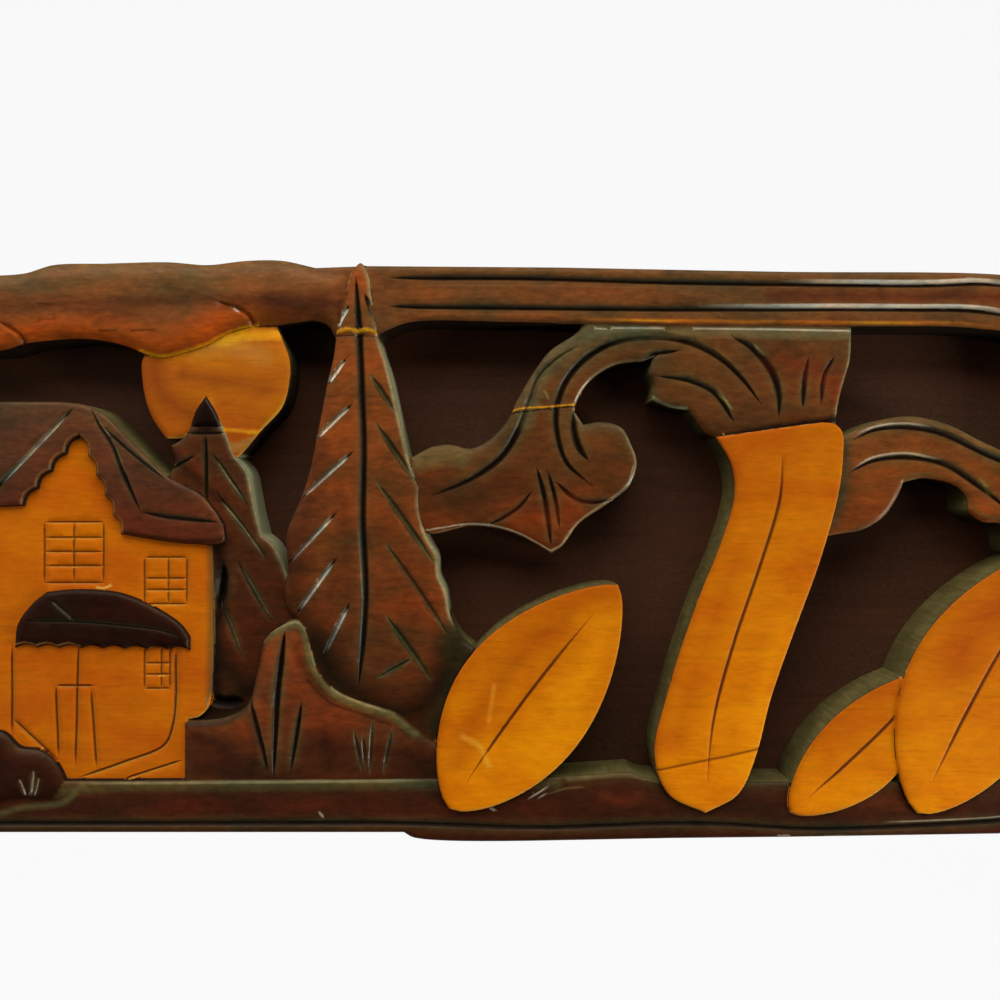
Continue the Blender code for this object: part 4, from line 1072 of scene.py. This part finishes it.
        (moved(bites((-148.5, 40.5), (-168.5, 16), 4, -1.4), (-0.5, 0.7)), 0.8, TAN, 0.5, 0.8),
        ([(-132, 6.6), (-119.5, 4.6), (-109, 3.6), (-98, 4)], 2.2, SHADE, 0.6, 0.9),
    ],
    # Awning: the tan line along its scallops and the grey line on its fold are painted highlights
    awning: [
        (moved(bites((-148.4, -34.4), (-171.5, -34), 3, -1.0), (0, 0.7)), 0.9, TAN, 0.8, 0.8),
        ([(-157.6, -18.4), (-151.6, -23.6)], 0.9, (112, 96, 80), 0.8, 0.8),
    ],
    # Bush: the pale lines in its cuts are painted highlights
    bush: [
        ([(-168.6, -80.6), (-166.7, -85.6)], 0.9, GLINT_PALE, 0.75, 0.8),
        ([(-163.9, -78), (-164.5, -84.6)], 1.0, GLINT_PALE, 0.75, 0.8),
        ([(-162, -80), (-163.4, -85.6)], 0.9, GLINT_PALE, 0.6, 0.8),
    ],
    house_wall: [
        ([(-102.2, 15), (-101.8, -16), (-102.2, -46), (-104.5, -55)], 1.5, EDGE_RIM, 0.75, 0.9),
        ([(-142.5, -13.2), (-140.5, -13.4), (-138.5, -12.6)], 1.3, HONEY_LINE, 0.9, 0.6),
        ([(-102.5, 12), (-102, -18), (-102.5, -50)], 5.2, (96, 76, 32), 0.75, 0.9),
    ],
}

# Marks of each stroke, in the order in which strokes() makes them
STROKE_MARKS = [
    [
        ([(14, -68), (28, -48), (36, -28)], 26.0, (246, 156, 2), 0.6, 1.0),
        ([(-15, -74), (-6, -54), (8, -36), (22, -24)], 13.0, (176, 82, 6), 0.5, 1.0),
        ([(-13, -65), (-7, -68.5), (-4, -75)], 3.4, (240, 168, 48), 0.6, 1.0),
        ([(-2, -47), (-4, -60)], 2.6, (240, 160, 40), 0.5, 1.0),
    ],
    [],
    [
        ([(186, -8), (172, -22), (160, -38)], 30.0, (176, 72, 6), 0.7, 1.0),
    ],
    [
        ([(62, -66), (70, -38), (84, 0)], 15.0, (180, 80, 4), 0.45, 1.0),
        ([(86, -76), (92, -50), (100, -26)], 12.0, (246, 150, 2), 0.4, 1.0),
        ([(54.3, -77.0), (66.0, -74.6), (80.0, -71.8), (92.0, -69.0)],
         1.5, (118, 52, 6), 0.9, 0.8, 0.0, -0.3),
    ],
]


def all_forms():
    """Every form, with its tones and marks."""
    forms = []
    for maker, tones in TONES.items():
        made = maker()
        for form in made if isinstance(made, list) else [made]:
            form.maker = maker
            form.tones = tones
            form.marks += [Mark(*row) for row in MARKS.get(maker, ())]
            forms.append(form)
    for form, rows in zip(forms[-len(STROKE_MARKS):], STROKE_MARKS):
        form.marks = [Mark(*row) for row in rows]
    return forms


class Panel:
    """The carved surface that the forms make together."""

    def __init__(self):
        self.forms = all_forms()

    def read(self, points):
        """The highest form at each point and what it reads there."""
        readings = [form.read(points) for form in self.forms]
        levels = np.array([reading["level"] for reading in readings])
        top = levels.argmax(axis=0)
        rows = np.arange(len(points))
        merged = {"level": levels[top, rows], "top": top}
        for key in ("cut", "pale", "around", "away", "outward", "inside"):
            merged[key] = np.array([reading[key] for reading in readings])[top, rows]
        merged["levels"] = levels
        return merged

    def solid(self, points):
        """Whether each point is on the wood and not in a pierced opening."""
        solid = np.zeros(len(points), bool)
        for form in self.forms:
            left = np.flatnonzero(~solid)
            solid[left] = form.inside(points[left])
        return solid

    def guide_points(self):
        """The points and edges that the mesh follows, and which of the points are kept."""
        lines, owners, joined = [], [], []

        def follow(found, owner, joined_count=0):
            for place, line in enumerate(found):
                lines.append(line)
                owners.append(owner)
                joined.append(place < joined_count)

        def around(loops):
            return [dense(closed(loop), POINT_STEP) for loop in loops]

        for number, form in enumerate(self.forms):
            follow(around(form.loops), OUTLINES, len(form.loops))
            for inward in (*EDGE_GUIDES, form.edge_width * 0.55, form.edge_width):
                follow(around(form.beside(inward)), number)
            follow(around(form.beside(-OUTER_GUIDE)), OUTSIDE)
            for groove in form.grooves:
                follow(groove.guides(), number, 3)
            for mark in form.marks:
                follow(mark.guides(), number)
        counts = [len(line) for line in lines]
        points = np.vstack(lines)
        owner = np.repeat(owners, counts)
        reading = self.read(points)
        kept = np.ones(len(points), bool)
        for number, form in enumerate(self.forms):
            mine = np.flatnonzero(owner == number)
            own = reading["levels"][number][mine]
            kept[mine] = own >= reading["level"][mine] - HIDDEN_BELOW
            kept[mine] &= form.inside(points[mine])
        kept[owner == OUTSIDE] = self.solid(points[owner == OUTSIDE])
        edges = []
        first = 0
        for count, is_joined in zip(counts, joined):
            if is_joined:
                run = np.arange(first, first + count - 1)
                run = run[kept[run] & kept[run + 1]]
                edges += [(int(i), int(i) + 1) for i in run]
            first += count
        return points, kept, edges

    def swell(self, points):
        """The slight waviness that hand tools leave, in millimetres."""
        rng = np.random.default_rng(11)
        wave = np.zeros(len(points))
        for _ in range(WAVE_COUNT):
            turn = rng.uniform(0, math.tau)
            length = rng.uniform(*WAVE_LENGTHS)
            phase = rng.uniform(0, math.tau)
            along = points[:, 0] * math.cos(turn) + points[:, 1] * math.sin(turn)
            wave += np.sin(along / length * math.tau + phase) * length / WAVE_LENGTHS[1]
        return wave * WAVE_HEIGHT


def triangulate(points, edges):
    """Triangles between the points that keep every edge, with points added where edges cross."""
    vectors = [Vector((float(x), float(z))) for x, z in points]
    out = delaunay_2d_cdt(vectors, edges, [], 0, WELD)
    places = np.array([tuple(v) for v in out[0]])
    triangles = np.array([face for face in out[2] if len(face) == 3])
    return places, triangles, out[3]


def rim_edges(triangles):
    """The directed edges that only one triangle has."""
    edges = np.vstack((triangles[:, (0, 1)], triangles[:, (1, 2)], triangles[:, (2, 0)]))
    seen = set(map(tuple, edges.tolist()))
    return [edge for edge in seen if (edge[1], edge[0]) not in seen]


def filling_points(panel, taken):
    """A loose grid of points between the lines, for the slow shape of the surfaces."""
    rng = np.random.default_rng(5)
    xs, zs = np.meshgrid(np.arange(*GRID_X, GRID_STEP), np.arange(*GRID_Z, GRID_STEP * ROW_RATIO))
    xs = xs + (np.arange(xs.shape[0]) % 2)[:, None] * GRID_STEP / 2
    grid = np.stack((xs.ravel(), zs.ravel()), axis=1)
    grid += rng.uniform(-0.2, 0.2, grid.shape) * GRID_STEP
    grid = grid[panel.solid(grid)]
    tree = KDTree(len(taken))
    for i, (x, z) in enumerate(taken):
        tree.insert((x, z, 0.0), i)
    tree.balance()
    gaps = np.array([tree.find((x, z, 0.0))[2] for x, z in grid])
    return grid[gaps > GRID_CLEARANCE * GRID_STEP]


def towards(colour, aim, share):
    """The colours moved towards the aim, a colour as it shows on screen, by each point's share."""
    return colour + (linear(*aim) - colour) * np.clip(share, 0, 1)[:, None]


def paint(panel, places, reading):
    """The colour of the wood at each point before its grain, with painted highlights, sheen and shade, how
    honey-coloured and how glossy it is.
    """
    tone = np.zeros((len(places), 3))
    honey = np.zeros(len(places))
    gloss = np.zeros(len(places))
    for number, form in enumerate(panel.forms):
        mine = np.flatnonzero(reading["top"] == number)
        if not len(mine):
            continue
        some = places[mine]
        away, outward = reading["away"][mine], reading["outward"][mine]
        cut, pale, around = (reading[key][mine] for key in ("cut", "pale", "around"))
        rise = np.clip((some[:, 1] - form.low[1]) / (form.high[1] - form.low[1]), 0, 1)
        if form.maker is border:
            rise = np.clip(rise * 1.6 - 0.45, 0, 1)
        upper, lower, band_width, band, line = form.tones
        colour = towards(np.tile(linear(*lower), (len(some), 1)), upper, rise)
        # Painted highlight: a pale line along the edges that face the key light at the right
        right_highlight = line * np.clip(outward @ RIGHT_LIT, 0, 1) * np.exp(-(away / RIGHT_HIGHLIGHT_WIDTH) ** 2)
        if form.honey:
            # Painted highlight: a yellow line along the honey forms' lower edges, which face the light from
            # below
            low_highlight = np.clip(outward @ LOWER_LIT, 0, 1) ** 2 * np.exp(-(away / LOW_HIGHLIGHT_WIDTH) ** 2)
            left_red = np.clip(-outward[:, 0], 0, 1) * np.exp(-away / RED_WIDTH)
            colour = towards(colour, HONEY_RED, 0.45 * left_red)
            # painted highlight along the lower edges
            colour = towards(colour, HONEY_LINE, 0.8 * low_highlight)
            colour = towards(colour, HONEY_CUT, cut * 0.9)
            # painted highlight on the lit slope of honey cuts
            colour = towards(colour, HONEY_PALE, pale)
        else:
            # Painted sheen: olive towards the upper edges and beside the cuts
            facing_up = np.clip(0.2 + 0.8 * outward[:, 1], 0, 1)
            colour = towards(colour, OLIVE, band * facing_up * np.exp(-away / band_width))
            colour = towards(colour, OLIVE, band * 0.55 * around)
            colour = towards(colour, DARK_CUT, cut)
            # painted highlight on the lit slope of dark cuts
            colour = towards(colour, PALE_CUT, pale)
            # painted highlight along the right edges
            colour = towards(colour, EDGE_HIGHLIGHT, right_highlight)
        # Marks: stains, cracks, glue and chips, and painted highlights, glints and shade
        for mark in form.marks:
            colour = towards(colour, mark.tone, mark.weight(some) * mark.strength)
        tone[mine] = colour
        honey[mine] = 1.0 if form.honey else 0.0
        gloss[mine] = np.clip(right_highlight + pale, 0, 1) * (0.15 if form.honey else 1.0)
    return tone, honey, gloss


def side_shares(coordinates, rim, front, behind):
    """How khaki the dark-stained side faces are, full where they face up or left as painted light and low
    where they face down as painted shade, and how pale they are with a painted highlight.
    """
    shares = np.zeros((len(coordinates), 2))
    starts, ends = np.array(rim).T
    along = coordinates[front[ends]] - coordinates[front[starts]]
    length = np.maximum(np.linalg.norm(along, axis=1), 1e-9)
    right, up = along[:, 2] / length, -along[:, 0] / length
    # Painted light and shade: khaki towards up and left, dark stain towards down and right
    share = np.clip(0.6 + 0.75 * up - 0.3 * right, 0, 1)
    middle = (coordinates[front[starts]] + coordinates[front[ends]]) / 2
    outermost = (np.abs(middle[:, 0]) > OUTER_FACES[0]) | (np.abs(middle[:, 2]) > OUTER_FACES[1])
    share = np.where(outermost, share * 0.45, share)
    lit_pale = np.zeros(len(share))
    for left_end, right_end, top in TREE_SIDES:
        near = (middle[:, 0] > left_end) & (middle[:, 0] < right_end) & (middle[:, 2] < top)
        # painted highlight on the trees' right sides, which face the key light
        lit_pale[near & (right > 0.3)] = 1.0
    share = np.stack((share, lit_pale), axis=1)
    for corners in (front, behind):
        total = np.zeros((len(coordinates), 2))
        count = np.zeros(len(coordinates))
        for ring in (starts, ends):
            np.add.at(total, corners[ring], share)
            np.add.at(count, corners[ring], 1)
        met = count > 0
        shares[met] = total[met] / count[met][:, None]
    return shares


def wall_faces(rim, front, behind):
    """Two triangles behind each edge of the rims."""
    walls = []
    for a, b in rim:
        walls.append((front[b], front[a], behind[a]))
        walls.append((front[b], behind[a], behind[b]))
    return walls


def back_faces(panel, places, rim, rim_points, behind):
    """The triangles of the flat back, between the rims."""
    number = {old: new for new, old in enumerate(rim_points)}
    edges = [(number[a], number[b]) for a, b in rim]
    back_places, triangles, origins = triangulate(places[rim_points], edges)
    triangles = triangles[panel.solid(back_places[triangles].mean(axis=1))]
    return [[behind[rim_points[origins[i][0]]] for i in corners][::-1] for corners in triangles]


def slots(coordinates, faces, dark):
    """The material slot of each front face: steep faces that are no cuts are sides."""
    corners = coordinates[faces]
    slopes = np.cross(corners[:, 1] - corners[:, 0], corners[:, 2] - corners[:, 0])
    steep = np.abs(slopes[:, 1]) < STEEP * np.linalg.norm(slopes, axis=1)
    return np.where(steep & (dark <= IN_CUT), SIDE_SLOT, FRONT_SLOT).tolist()


def add_layer(mesh, name, filled, values):
    """A colour attribute, with one row of values for each of the first points of the mesh."""
    rows = np.full((len(mesh.vertices), 4), filled, np.float32)
    rows[:, 3] = 1.0
    rows[:len(values), :values.shape[1]] = values
    layer = mesh.color_attributes.new(name, "FLOAT_COLOR", "POINT")
    layer.data.foreach_set("color", rows.ravel())


def carved_panel_piece():
    """The whole carved panel as one closed mesh: fine front, walls behind every rim, flat back."""
    panel = Panel()
    points, kept, edges = panel.guide_points()
    fill = filling_points(panel, points[kept])
    numbers = np.cumsum(kept) - 1
    edges = [(int(numbers[a]), int(numbers[b])) for a, b in edges]
    places, triangles, _ = triangulate(np.vstack((points[kept], fill)), edges)
    triangles = triangles[panel.solid(places[triangles].mean(axis=1))]
    reading = panel.read(places)
    level = reading["level"] + panel.swell(places) * np.clip(reading["away"] / CALM_EDGE, 0, 1)
    rim = rim_edges(triangles)
    rim_points = sorted({i for edge in rim for i in edge})

    used = np.unique(triangles)
    front = np.full(len(places), -1)
    front[used] = np.arange(len(used))
    behind = np.full(len(places), -1)
    behind[rim_points] = len(used) + np.arange(len(rim_points))
    flat = places[np.concatenate((used, rim_points))]
    depths = np.concatenate((BACK_Y - level[used], np.full(len(rim_points), BACK_Y)))
    coordinates = np.stack((flat[:, 0], depths, flat[:, 1]), axis=1) * MM
    faces = front[triangles]
    hidden = wall_faces(rim, front, behind) + back_faces(panel, places, rim, rim_points, behind)
    kinds = slots(coordinates, faces, reading["cut"][triangles].max(axis=1)) + [SIDE_SLOT] * len(hidden)

    mesh = bpy.data.meshes.new("carved_panel_fine")
    everything = faces.tolist() + [list(map(int, face)) for face in hidden]
    mesh.from_pydata(coordinates.tolist(), [], everything)
    mesh.polygons.foreach_set("material_index", np.array(kinds, np.int32))
    mesh.polygons.foreach_set("use_smooth", np.ones(len(kinds), bool))
    tone, honey, gloss = paint(panel, places, reading)
    add_layer(mesh, "tone", (*linear(*OLIVE), 1.0), tone[used])
    add_layer(mesh, "masks", 0.0, np.stack((honey, reading["cut"], gloss), axis=1)[used])
    add_layer(mesh, "sides", 1.0, side_shares(coordinates, rim, front, behind))
    mesh.update()
    mesh.set_sharp_from_angle(angle=math.radians(SHARP_ANGLE))
    piece = bpy.data.objects.new("carved_panel_fine", mesh)
    bpy.context.collection.objects.link(piece)
    return piece


# Materials
class Shader:
    """Short ways to add and join shader nodes."""

    def __init__(self, name):
        self.material = bpy.data.materials.new(name)
        self.material.use_nodes = True
        self.tree = self.material.node_tree
        self.surface = self.tree.nodes["Principled BSDF"]

    def node(self, kind, **values):
        made = self.tree.nodes.new(kind)
        for key, value in values.items():
            setattr(made, key, value)
        return made

    def join(self, source, target):
        self.tree.links.new(source, target)

    def put(self, socket, value):
        """Set a socket to a plain value, or join it to another socket."""
        if isinstance(value, bpy.types.NodeSocket):
            self.join(value, socket)
        else:
            socket.default_value = value

    def places(self, scale, turn=(0.0, 0.0, 0.0)):
        coordinates = self.node("ShaderNodeTexCoord")
        mapping = self.node("ShaderNodeMapping")
        mapping.inputs["Scale"].default_value = scale
        mapping.inputs["Rotation"].default_value = turn
        self.join(coordinates.outputs["Object"], mapping.inputs["Vector"])
        return mapping.outputs["Vector"]

    def noise(self, scale, detail=4.0, roughness=0.55, stretch=(1.0, 1.0, 1.0), distortion=0.0):
        """Noise in waves of about 1 / scale metres, stretched along the axes."""
        made = self.node("ShaderNodeTexNoise")
        self.join(self.places(stretch), made.inputs["Vector"])
        made.inputs["Scale"].default_value = scale
        made.inputs["Detail"].default_value = detail
        made.inputs["Roughness"].default_value = roughness
        made.inputs["Distortion"].default_value = distortion
        return made.outputs["Fac"]

    def spread(self, value, low, high, to_low=0.0, to_high=1.0):
        made = self.node("ShaderNodeMapRange")
        self.put(made.inputs["Value"], value)
        made.inputs["From Min"].default_value = low
        made.inputs["From Max"].default_value = high
        made.inputs["To Min"].default_value = to_low
        made.inputs["To Max"].default_value = to_high
        return made.outputs["Result"]

    def sum(self, operation, a, b):
        made = self.node("ShaderNodeMath", operation=operation)
        self.put(made.inputs[0], a)
        self.put(made.inputs[1], b)
        return made.outputs[0]

    def mix(self, share, a, b, blend="MIX"):
        made = self.node("ShaderNodeMix", data_type="RGBA", blend_type=blend)
        self.put(made.inputs[0], share)
        self.put(made.inputs[6], a)
        self.put(made.inputs[7], b)
        return made.outputs[2]

    def attribute(self, name):
        made = self.node("ShaderNodeAttribute", attribute_name=name)
        return made.outputs["Color"]

    def tinted(self, colour, red, green, blue):
        """A colour with each of its channels multiplied."""
        return self.mix(1.0, colour, (red, green, blue, 1.0), "MULTIPLY")

    def give(self, name, value):
        """Give the surface a plain value or a texture."""
        self.put(self.surface.inputs[name], value)

    def parts(self, colour):
        made = self.node("ShaderNodeSeparateColor")
        self.join(colour, made.inputs[0])
        return made.outputs

    def bump(self, height, distance, strength=1.0, onto=None):
        made = self.node("ShaderNodeBump")
        self.join(height, made.inputs["Height"])
        made.inputs["Distance"].default_value = distance
        made.inputs["Strength"].default_value = strength
        if onto is not None:
            self.join(onto, made.inputs["Normal"])
        return made.outputs["Normal"]


def plain(red, green, blue):
    """A colour given as it shows on screen, for a socket."""
    return (*map(float, linear(red, green, blue)), 1.0)


def varnished_front():
    """Stained, varnished wood: mottled dark forms and smooth honey ones, darker in the cuts."""
    s = Shader("varnished carved wood")
    tone = s.attribute("tone")
    honey, cut, gloss = s.parts(s.attribute("masks"))[:3]
    cloudy = s.noise(42.0, 4.0, 0.55, (0.7, 1.0, 1.4), 0.4)
    blotch = s.noise(150.0, 4.0, 0.6, (0.4, 1.0, 1.4), 0.4)
    streak = s.noise(420.0, 5.0, 0.65, (0.09, 1.0, 1.0), 1.2)
    fine = s.noise(1500.0, 3.0, 0.6, (0.12, 1.0, 1.0), 0.3)
    olive = s.tinted(tone, 0.60, 0.80, 0.80)
    red = s.tinted(tone, 1.24, 1.0, 0.78)
    dark_wood = s.mix(s.spread(cloudy, 0.32, 0.66), olive, red)
    dark_wood = s.mix(s.spread(blotch, 0.5, 0.78, 0.0, 0.55), dark_wood, plain(44, 28, 15))
    lighter = s.tinted(dark_wood, 1.5, 1.36, 1.2)
    dark_wood = s.mix(s.spread(blotch, 0.44, 0.24, 0.0, 0.7), dark_wood, lighter)
    yellow = s.tinted(tone, 1.08, 1.2, 0.8)
    orange = s.tinted(tone, 0.93, 0.80, 1.0)
    honey_wood = s.mix(s.spread(cloudy, 0.36, 0.64), orange, yellow)
    honey_wood = s.mix(s.spread(streak, 0.56, 0.78, 0.0, 0.3), honey_wood, plain(138, 62, 4))
    wood = s.mix(honey, dark_wood, honey_wood)
    pores = s.noise(620.0, 3.0, 0.6, (0.45, 1.0, 1.0), 0.2)
    fine_shade = s.spread(fine, 0.35, 0.65, -0.05, 0.05)
    grain_shade = s.sum("ADD", fine_shade, s.spread(streak, 0.35, 0.65, 0.03, -0.03))
    mottle = s.sum("MULTIPLY", s.spread(pores, 0.3, 0.7, -0.2, 0.2), s.spread(honey, 0.0, 1.0, 1.0, 0.3))
    grain_shade = s.sum("ADD", grain_shade, mottle)
    vector = s.node("ShaderNodeVectorMath", operation="SCALE")
    s.join(wood, vector.inputs[0])
    s.join(s.sum("ADD", grain_shade, 1.0), vector.inputs["Scale"])
    s.give("Base Color", vector.outputs["Vector"])
    rough = s.sum("SUBTRACT", s.spread(blotch, 0.3, 0.7, 0.36, 0.5), s.sum("MULTIPLY", gloss, 0.14))
    rough = s.sum("ADD", rough, s.sum("MULTIPLY", honey, 0.3))
    s.give("Roughness", rough)
    s.give("Specular IOR Level", 0.06)
    s.give("Coat Weight", s.sum("ADD", s.sum("MULTIPLY", gloss, 0.9), 0.03))
    s.give("Coat Roughness", 0.2)
    grain = s.bump(fine, 0.00006, 0.5)
    waves = s.bump(blotch, 0.00035, 0.35, grain)
    s.give("Normal", waves)
    return s.material


def stained_side():
    """The sawn and stained side faces: khaki as painted light where they face up or left, dark as painted
    shade where they face down, and pale as a painted highlight on the trees' right sides.
    """
    s = Shader("stained sawn wood")
    saw = s.noise(900.0, 4.0, 0.6, (1.0, 0.08, 1.0), 0.4)
    cloudy = s.noise(90.0, 4.0, 0.6)
    share = s.spread(saw, 0.35, 0.65)
    base = s.mix(share, plain(88, 80, 44), plain(112, 102, 60))
    base = s.mix(s.spread(cloudy, 0.35, 0.65, 0.0, 0.6), base, plain(70, 60, 32))
    stain_and_shade = s.mix(share, plain(24, 15, 9), plain(34, 22, 13))
    khaki, lit_pale = s.parts(s.attribute("sides"))[:2]
    # painted light and shade: khaki or dark stain by which way the side faces
    base = s.mix(khaki, stain_and_shade, base)
    # painted highlight on the trees' right sides
    base = s.mix(s.sum("MULTIPLY", lit_pale, 0.8), base, plain(150, 150, 116))
    s.give("Base Color", base)
    s.give("Roughness", 0.55)
    s.give("Specular IOR Level", 0.15)
    s.give("Normal", s.bump(saw, 0.00012, 0.6))
    return s.material


def backing_wood():
    """The flat dark board behind, matte and finely grained."""
    s = Shader("dark backing wood")
    fine = s.noise(1800.0, 3.0, 0.6, (0.35, 1.0, 1.0), 0.2)
    cloudy = s.noise(30.0, 4.0, 0.6, (0.5, 1.0, 1.0), 0.3)
    streak = s.noise(300.0, 5.0, 0.62, (0.04, 1.0, 1.0), 0.8)
    base = s.mix(s.spread(fine, 0.35, 0.65), plain(58, 35, 20), plain(76, 47, 28))
    base = s.mix(s.spread(cloudy, 0.35, 0.65, 0.0, 0.5), base, plain(88, 47, 27))
    base = s.mix(s.spread(streak, 0.5, 0.72, 0.0, 0.4), base, plain(44, 26, 15))
    s.give("Base Color", base)
    s.give("Roughness", 0.68)
    s.give("Specular IOR Level", 0.15)
    s.give("Normal", s.bump(fine, 0.00008, 0.5))
    return s.material


# Stage, lights and camera
def stage_material():
    s = Shader("pale stage")
    s.give("Base Color", (0.05, 0.05, 0.05, 1.0))
    s.give("Roughness", 0.9)
    s.give("Specular IOR Level", 0.0)
    s.give("Emission Color", (1.0, 1.0, 1.0, 1.0))
    s.give("Emission Strength", STAGE_LEVEL)
    return s.material


def sweep(material):
    """A pale floor that curves up into a pale wall well behind the plaque."""
    half_width, floor_z, wall_y, radius, front_y, top_z = 4.0, -0.75, 3.0, 1.0, 0.1, 4.0
    profile = [(front_y, floor_z)]
    for i in range(BEND_STEPS + 1):
        angle = math.pi / 2 * i / BEND_STEPS
        across, up = radius * math.sin(angle), radius * math.cos(angle)
        profile.append((wall_y - radius + across, floor_z + radius - up))
    profile.append((wall_y, top_z))
    points, faces = [], []
    for y, z in profile:
        points += [(-half_width, y, z), (half_width, y, z)]
    for i in range(len(profile) - 1):
        faces.append((2 * i, 2 * i + 1, 2 * i + 3, 2 * i + 2))
    mesh = bpy.data.meshes.new("floor_sweep")
    mesh.from_pydata(points, [], faces)
    mesh.polygons.foreach_set("use_smooth", np.ones(len(faces), bool))
    mesh.materials.append(material)
    made = bpy.data.objects.new("floor_sweep", mesh)
    bpy.context.collection.objects.link(made)


def soft_light(name, place, size, power, colour):
    """A lamp with a square or oblong face, turned to the middle of the plaque."""
    data = bpy.data.lights.new(name, "AREA")
    data.shape = "RECTANGLE"
    data.size, data.size_y = size
    data.energy = power
    data.color = colour
    lamp = bpy.data.objects.new(name, data)
    lamp.location = place
    lamp.rotation_euler = (-Vector(place)).to_track_quat("-Z", "Y").to_euler()
    bpy.context.collection.objects.link(lamp)


def world():
    """Dim light from all around the plaque, and a pale studio where the world itself is seen."""
    made = bpy.data.worlds.new("studio")
    bpy.context.scene.world = made
    made.use_nodes = True
    tree = made.node_tree
    light = tree.nodes["Background"]
    light.inputs["Color"].default_value = (1.0, 0.97, 0.93, 1.0)
    light.inputs["Strength"].default_value = WORLD_LEVEL
    seen = tree.nodes.new("ShaderNodeBackground")
    seen.inputs["Color"].default_value = (1.0, 1.0, 1.0, 1.0)
    seen.inputs["Strength"].default_value = STAGE_LEVEL
    ray = tree.nodes.new("ShaderNodeLightPath")
    mix = tree.nodes.new("ShaderNodeMixShader")
    tree.links.new(ray.outputs["Is Camera Ray"], mix.inputs[0])
    tree.links.new(light.outputs[0], mix.inputs[1])
    tree.links.new(seen.outputs[0], mix.inputs[2])
    tree.links.new(mix.outputs[0], tree.nodes["World Output"].inputs["Surface"])


def camera():
    data = bpy.data.cameras.new("camera")
    data.sensor_width = SENSOR_WIDTH
    data.lens = SENSOR_WIDTH * VIEW_DISTANCE / SEEN_WIDTH
    data.clip_start = 0.01
    made = bpy.data.objects.new("camera", data)
    made.location = CAMERA_PLACE
    made.rotation_euler = (math.radians(90), 0.0, 0.0)
    bpy.context.collection.objects.link(made)
    bpy.context.scene.camera = made


def main():
    piece = carved_panel_piece()
    piece.data.materials.append(varnished_front())
    piece.data.materials.append(stained_side())
    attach(piece, "root")
    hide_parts("carved_panel")
    board = frame["nodes"]["backing_board"]
    board.data.materials.clear()
    board.data.materials.append(backing_wood())
    sweep(stage_material())
    world()
    for lamp in LAMPS:
        soft_light(*lamp)
    camera()
    bpy.context.scene.view_settings.view_transform = "Standard"


main()
